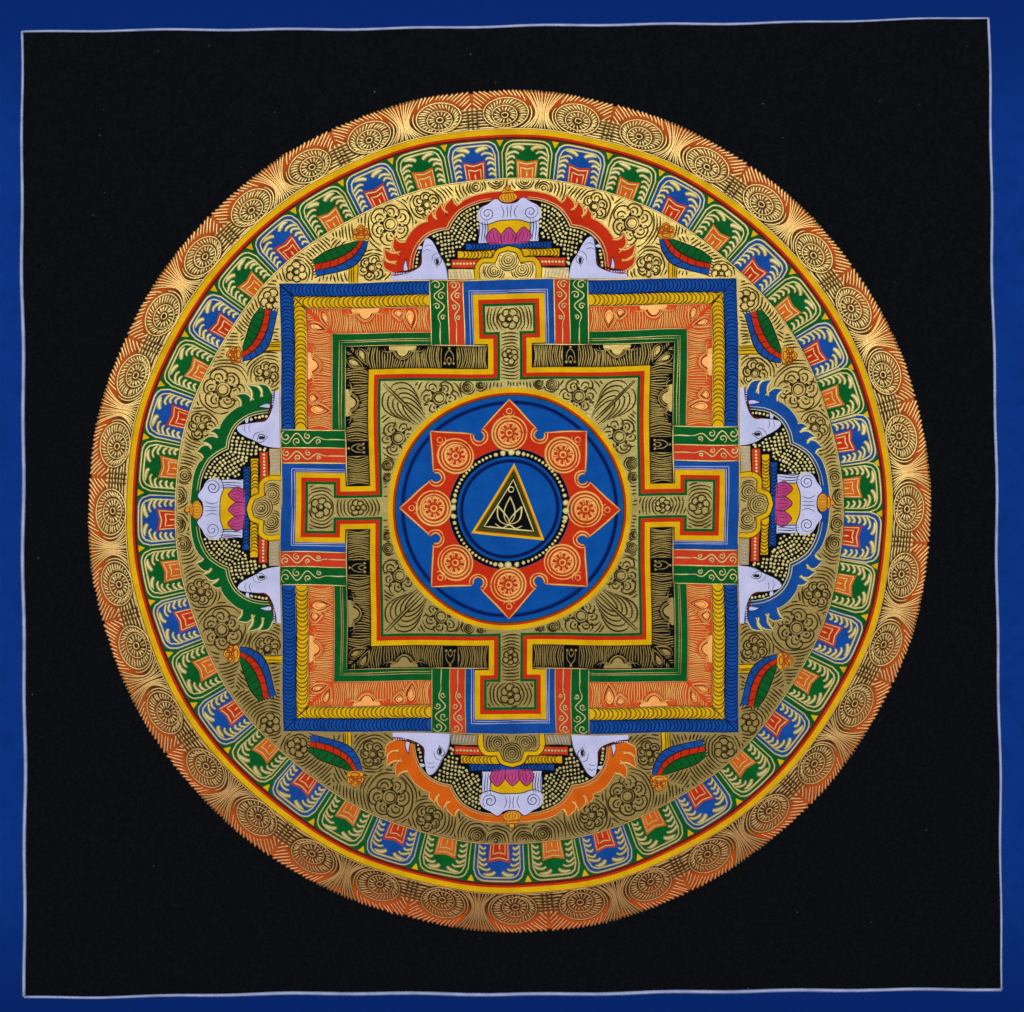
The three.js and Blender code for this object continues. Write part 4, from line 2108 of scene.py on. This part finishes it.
    def heads(self, front: ColourLayer, work: BrushWork) -> None:
        """White heads with upright trunks and long jaws at both feet of the arch, on one side.

        Args:
            front: takes the white.
            work: takes the lines.
        """
        for way in (1, -1):
            back = self.head() * (way, 1)
            front.area(level_under(back, self.base + 0.1), back, Paint.WHITE, 3)
            work.stroke(back, 0.4, Paint.NIGHT)
            for *points, width, paint in self.head_marks:
                work.stroke(flow(*points, count=9) * (way, 1), width, paint)
            for y, radius in ((99.5, 0.7), (98.7, 0.75), (98.0, 0.5)):
                work.dab(28.5 * way, y, radius, Paint.INK)
            for x in np.arange(42.0, 47.4, 0.95):
                work.dab(x * way, 94.5, 0.42, Paint.WHITE)
            for part in self.spurs():
                sides = (part[0] * (way, 1), part[1] * (way, 1))
                front.leaf(sides, Paint.WHITE)
                edge = loop(sides)
                work.trace(edge, ~within(edge, back), 0.35, Paint.NIGHT)

    def pebbles(self) -> Flat:
        """Places for rows of dots that fill the black ground.

        Returns:
            The places.
        """
        inner = self.whole(self.inner_lobes)
        found = []
        for row in np.arange(*self.pebble_rows):
            path = beside(inner, -row)
            steps = np.concatenate([[0], np.cumsum(np.linalg.norm(np.diff(path, axis=0), axis=1))])
            odd = round(row / self.pebble_rows[2]) % 2
            at = np.arange(0.4 + 0.7 * odd, steps[-1], self.pebble_pitch)
            points = np.column_stack([np.interp(at, steps, path[:, 0]), np.interp(at, steps, path[:, 1])])
            gap = np.linalg.norm(points[:, None] - inner[None], axis=2).min(axis=1)
            found.append(points[(gap > row - 0.3) & within(points, inner) & self.clear(points)])
        return np.vstack(found)

    def build(self) -> list[Piece]:
        """Builds all four gates' arches.

        Returns:
            The pieces.
        """
        ground = ColourLayer("arch_ground", COLOUR_LIFT, True)
        layer = ColourLayer("arch_colours", MOTIF_LIFT, True)
        front = ColourLayer("arch_motifs", FRONT_LIFT, True)
        work = BrushWork("arch_lines", drifts=True, seed=53)
        pebbles = self.pebbles()
        for paint, _ in zip(self.paints, placed(QUARTERS, ground, layer, front, work)):
            self.arch(ground, layer, work, paint)
            self.roof(layer, front, work)
            self.shrine(layer, front, work)
            self.heads(front, work)
            for x, y in pebbles + work.hand.normal(0, 0.1, pebbles.shape):
                work.dab(x, y, work.hand.uniform(0.52, 0.74), Paint.CREAM)
        return [ground.build(), layer.build(), front.build(), work.build()]


@dataclass
class InnerCircle:
    """The round court: blue disc, lotus of eight petals, ring of beads and the triangle."""

    petals: int = 8
    tip: float = 43.8
    shoulder: Point = (10.9, 31.6)
    wheel: Oval = Oval(0.0, 30.0, 6.9, 6.9)
    notch: Oval = Oval(12.0, 29.0, 1.9, 1.9)
    beads_from: float = 20.6
    beads_to: float = 23.9
    corners: Line = ((1.7, 18.0), (-14.8, -9.4), (14.1, -12.6))
    # Rings from outside to inside: outer radius, paint
    rings: tuple[tuple[float, Paint], ...] = (
        (48.4, Paint.YELLOW), (46.5, Paint.RED), (45.7, Paint.OLIVE), (45.1, Paint.DISC),
        (43.4, Paint.BORDER), (41.5, Paint.DISC), (beads_to, Paint.BLACK), (beads_from, Paint.DISC),
        (19.8, Paint.BORDER), (18.1, Paint.DISC),
    )

    def seat(self, points: Flat, angle: float = 0.0) -> Flat:
        """Turns points about the disc's centre and moves them there."""
        return turned(points, angle) + COURT_CENTRE

    def disc(self, work: BrushWork) -> Piece:
        """The rings and the blue disc, with dark lines scored round it.

        Args:
            work: takes the lines.

        Returns:
            The piece.
        """
        layer = ColourLayer("disc_colours", MOTIF_LIFT)
        for _ in placed([self.seat], layer, work):
            for (outer, paint), (inner, _) in zip(self.rings, self.rings[1:]):
                layer.ring(inner, outer, paint)
            layer.ring(0.0, *self.rings[-1])
            for radius in (42.5, 18.9):
                path = arc(0, 0, radius)
                angle = np.degrees(np.arctan2(path[:, 1], path[:, 0]))
                clear = (radius < self.beads_from) | (np.abs((angle + 22.5) % 45 - 22.5) > 2.4)
                work.trace(path, clear, 0.8, Paint.NIGHT, (1.0, 1.0))
        return layer.build()

    def petal(self, layer: ColourLayer, work: BrushWork) -> None:
        """A pointed petal with its wheel, and half a round notch at each side.

        Args:
            layer: takes the colour.
            work: takes the lines.
        """
        edge, notch, wheel = math.pi / self.petals, self.notch, self.wheel
        bay = notch.rim(112, 292, step=0.6)
        high = np.vstack([straight((0.0, self.tip), self.shoulder), bay[1:-1]])
        high = high[np.arctan2(high[:, 0], high[:, 1]) <= edge]
        reach = math.hypot(notch.x, notch.y) - notch.wide
        high = np.vstack([high, [(math.sin(edge) * reach, math.cos(edge) * reach)]])
        turn = np.linspace(0, edge, len(high))
        low = np.column_stack([np.sin(turn), np.cos(turn)]) * (self.beads_to + 0.1)
        for way in (1, -1):
            layer.area(low * (way, 1), high * (way, 1), Paint.RED, 4)
            work.stroke(straight((0.0, self.tip), self.shoulder) * (way, 1), 1.0, Paint.PEACH)
            for grow in (1.12, 1.75):
                work.stroke(notch.rim(112, 250, grow, 0.6) * (way, 1), 0.9, Paint.PEACH)
        for share, width in ((1.0, 1.25), (0.81, 1.15), (0.63, 1.15), (0.17, 1.3)):
            work.stroke(wheel.rim(share=share), width, Paint.PEACH)
        for spoke in range(8):
            turn = 45 * spoke + 12
            cell = [(8, 0.3), (7, 0.54), (22, 0.58), (38, 0.54), (37, 0.3)]
            work.stroke(flow(*[wheel.at(turn + a, share) for a, share in cell], count=10), 1.15, Paint.PEACH)
        work.stroke(arc(0, 38.8, 1.1), 0.75, Paint.PEACH)
        work.stroke(arc(0, 38.8, 2.4, 195, 345), 0.7, Paint.PEACH)

    def beads(self, work: BrushWork) -> None:
        """Cream beads, large at the four quarters.

        Args:
            work: takes the lines.
        """
        middle = (self.beads_from + self.beads_to) / 2
        angle = -9.0
        while angle < 350:
            near = abs((angle + 45) % 90 - 45)
            radius = 0.66 + 0.9 * max(0.0, 1 - near / 20)
            x, y = Oval(0, 0, middle, middle).at(angle)
            work.dab(x, y, radius, Paint.CREAM)
            angle += math.degrees((radius * 2 + 0.35) / middle)

    def triangle(self, layer: ColourLayer, work: BrushWork) -> None:
        """The triangle at the centre, with a lotus bud.

        Args:
            layer: takes the colours.
            work: takes the lines.
        """
        def rail(share: float) -> Flat:
            """The triangle's outline at a share of its size."""
            a, b, c = resized(np.array(self.corners), share)
            return np.vstack([np.linspace(*row, 8, endpoint=False) for row in ((a, b), (b, c), (c, a))] + [a])

        rows = (
            (0.9, 1.0, Paint.YELLOW), (0.86, 0.9, Paint.RUST),
            (0.72, 0.86, Paint.OLIVE), (0.0, 0.72, Paint.BLACK),
        )
        for near, far, paint in rows:
            layer.area(rail(near), rail(far), paint, 1 if near else 3)
        work.stroke(rail(0.67), 0.85, Paint.CREAM)
        for tip, width, bend in (((0.2, 4.6), 4.4, 0.0), ((-4.6, 1.2), 3.2, 0.8), ((4.8, 0.6), 3.2, -0.8)):
            work.stroke(loop(leaf((0.0, -6.0), tip, width, bend)), 0.8, Paint.CREAM)
        water = flow((-5.4, -5.6), (-2.6, -7.4), (0, -6.2), (2.6, -7.8), (5.2, -6.8), count=13)
        work.stroke(water, 0.8, Paint.CREAM)
        work.stroke(arc(0.5, 7.6, 1.1), 0.7, Paint.CREAM)

    def build(self) -> list[Piece]:
        """Builds the round court.

        Returns:
            The pieces.
        """
        lotus = ColourLayer("lotus_colours", FRONT_LIFT)
        work = BrushWork("lotus_lines", seed=61)
        disc = self.disc(work)
        petals = [partial(self.seat, angle=360 / self.petals * k) for k in range(self.petals)]
        for _ in placed(petals, lotus, work):
            self.petal(lotus, work)
        for _ in placed([self.seat], lotus, work):
            self.beads(work)
            self.triangle(lotus, work)
        return [disc, lotus.build(), work.build()]


@dataclass(frozen=True)
class SoftBox:
    """A soft light: name, place, size, power, and how far it is turned about X and Z in degrees."""

    name: str
    place: tuple[float, float, float]
    size: Point
    power: float
    tilt: float
    turn: float


@dataclass
class Studio:
    """The camera square to the painting, soft lights and a pale floor."""

    lens: float = 85.0
    sensor: float = 36.0
    frame_width: float = 409.6
    frame_down: float = 210.0
    floor_gap: float = 60.0
    floor_reach: float = 4.0
    floor_colour: tuple[float, ...] = (0.72, 0.72, 0.71, 1.0)
    room_colour: tuple[float, ...] = (0.86, 0.9, 0.96, 1.0)
    room_light: float = 0.25
    lights: tuple[SoftBox, ...] = (
        SoftBox("key_light", (0.0, -1.6, 0.32), (1.5, 0.7), 25.0, 72.0, 0.0),
        SoftBox("back_light", (0.7, 1.5, 0.4), (0.8, 0.8), 9.0, 70.0, 155.0),
    )

    def camera(self) -> None:
        """Sets the camera so that the frame shows the painting as it hangs."""
        data = bpy.data.cameras.new("camera")
        data.lens = self.lens
        data.sensor_width = self.sensor
        camera = add_object("camera", data)
        distance = self.frame_width * self.lens / self.sensor
        camera.location = (0.0, -distance * MM, -self.frame_down * MM)
        camera.rotation_euler = (math.pi / 2, 0.0, 0.0)
        bpy.context.scene.camera = camera

    def lighting(self) -> None:
        """Soft lights in a dim grey room."""
        for box in self.lights:
            data = bpy.data.lights.new(box.name, "AREA")
            data.shape = "RECTANGLE"
            data.size, data.size_y = box.size
            data.energy = box.power
            light = add_object(box.name, data)
            light.location = box.place
            light.rotation_euler = (math.radians(box.tilt), 0.0, math.radians(box.turn))
        world = bpy.data.worlds.new("soft_room")
        world.use_nodes = True
        background = world.node_tree.nodes["Background"]
        background.inputs[0].default_value = self.room_colour
        background.inputs[1].default_value = self.room_light
        bpy.context.scene.world = world

    def floor(self) -> None:
        """A plain pale floor a little under the hem."""
        mesh = bmesh.new()
        bmesh.ops.create_circle(mesh, cap_ends=True, segments=96, radius=self.floor_reach)
        bmesh.ops.translate(mesh, verts=mesh.verts[:], vec=(0.0, 0.0, -(CLOTH.height + self.floor_gap) * MM))
        made = mesh_of("floor", mesh)
        paint = bpy.data.materials.new("floor_grey")
        NodeDesk(paint).coat({"Base Color": self.floor_colour, "Roughness": 0.8})
        made.materials.append(paint)
        floor = add_object("floor", made)

    def build(self) -> None:
        """Sets up the whole studio."""
        self.camera()
        self.lighting()
        self.floor()
        bpy.context.scene.view_settings.view_transform = "Standard"


def main() -> None:
    """Builds the painting layer by layer, then the studio."""
    logging.basicConfig(level=logging.INFO, format="%(name)s %(message)s")
    parasols, arches = Parasols(), Arches()

    def taken(points: Flat) -> np.ndarray:
        """Which points of the top side lie under an arch or a parasol."""
        return arches.covers(points) | parasols.covers(points)

    sheet, painted = Canvas().build()
    painted += ScrollRing().build()
    painted += PetalRing().build()
    painted += ScrollGround().build(taken)
    painted += parasols.build()
    painted += Palace().build()
    painted += arches.build()
    painted += InnerCircle().build()
    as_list(painted)
    Studio().build()
    LOG.info("%d pieces painted", len(painted) + 1)


if __name__ == "__main__":
    main()
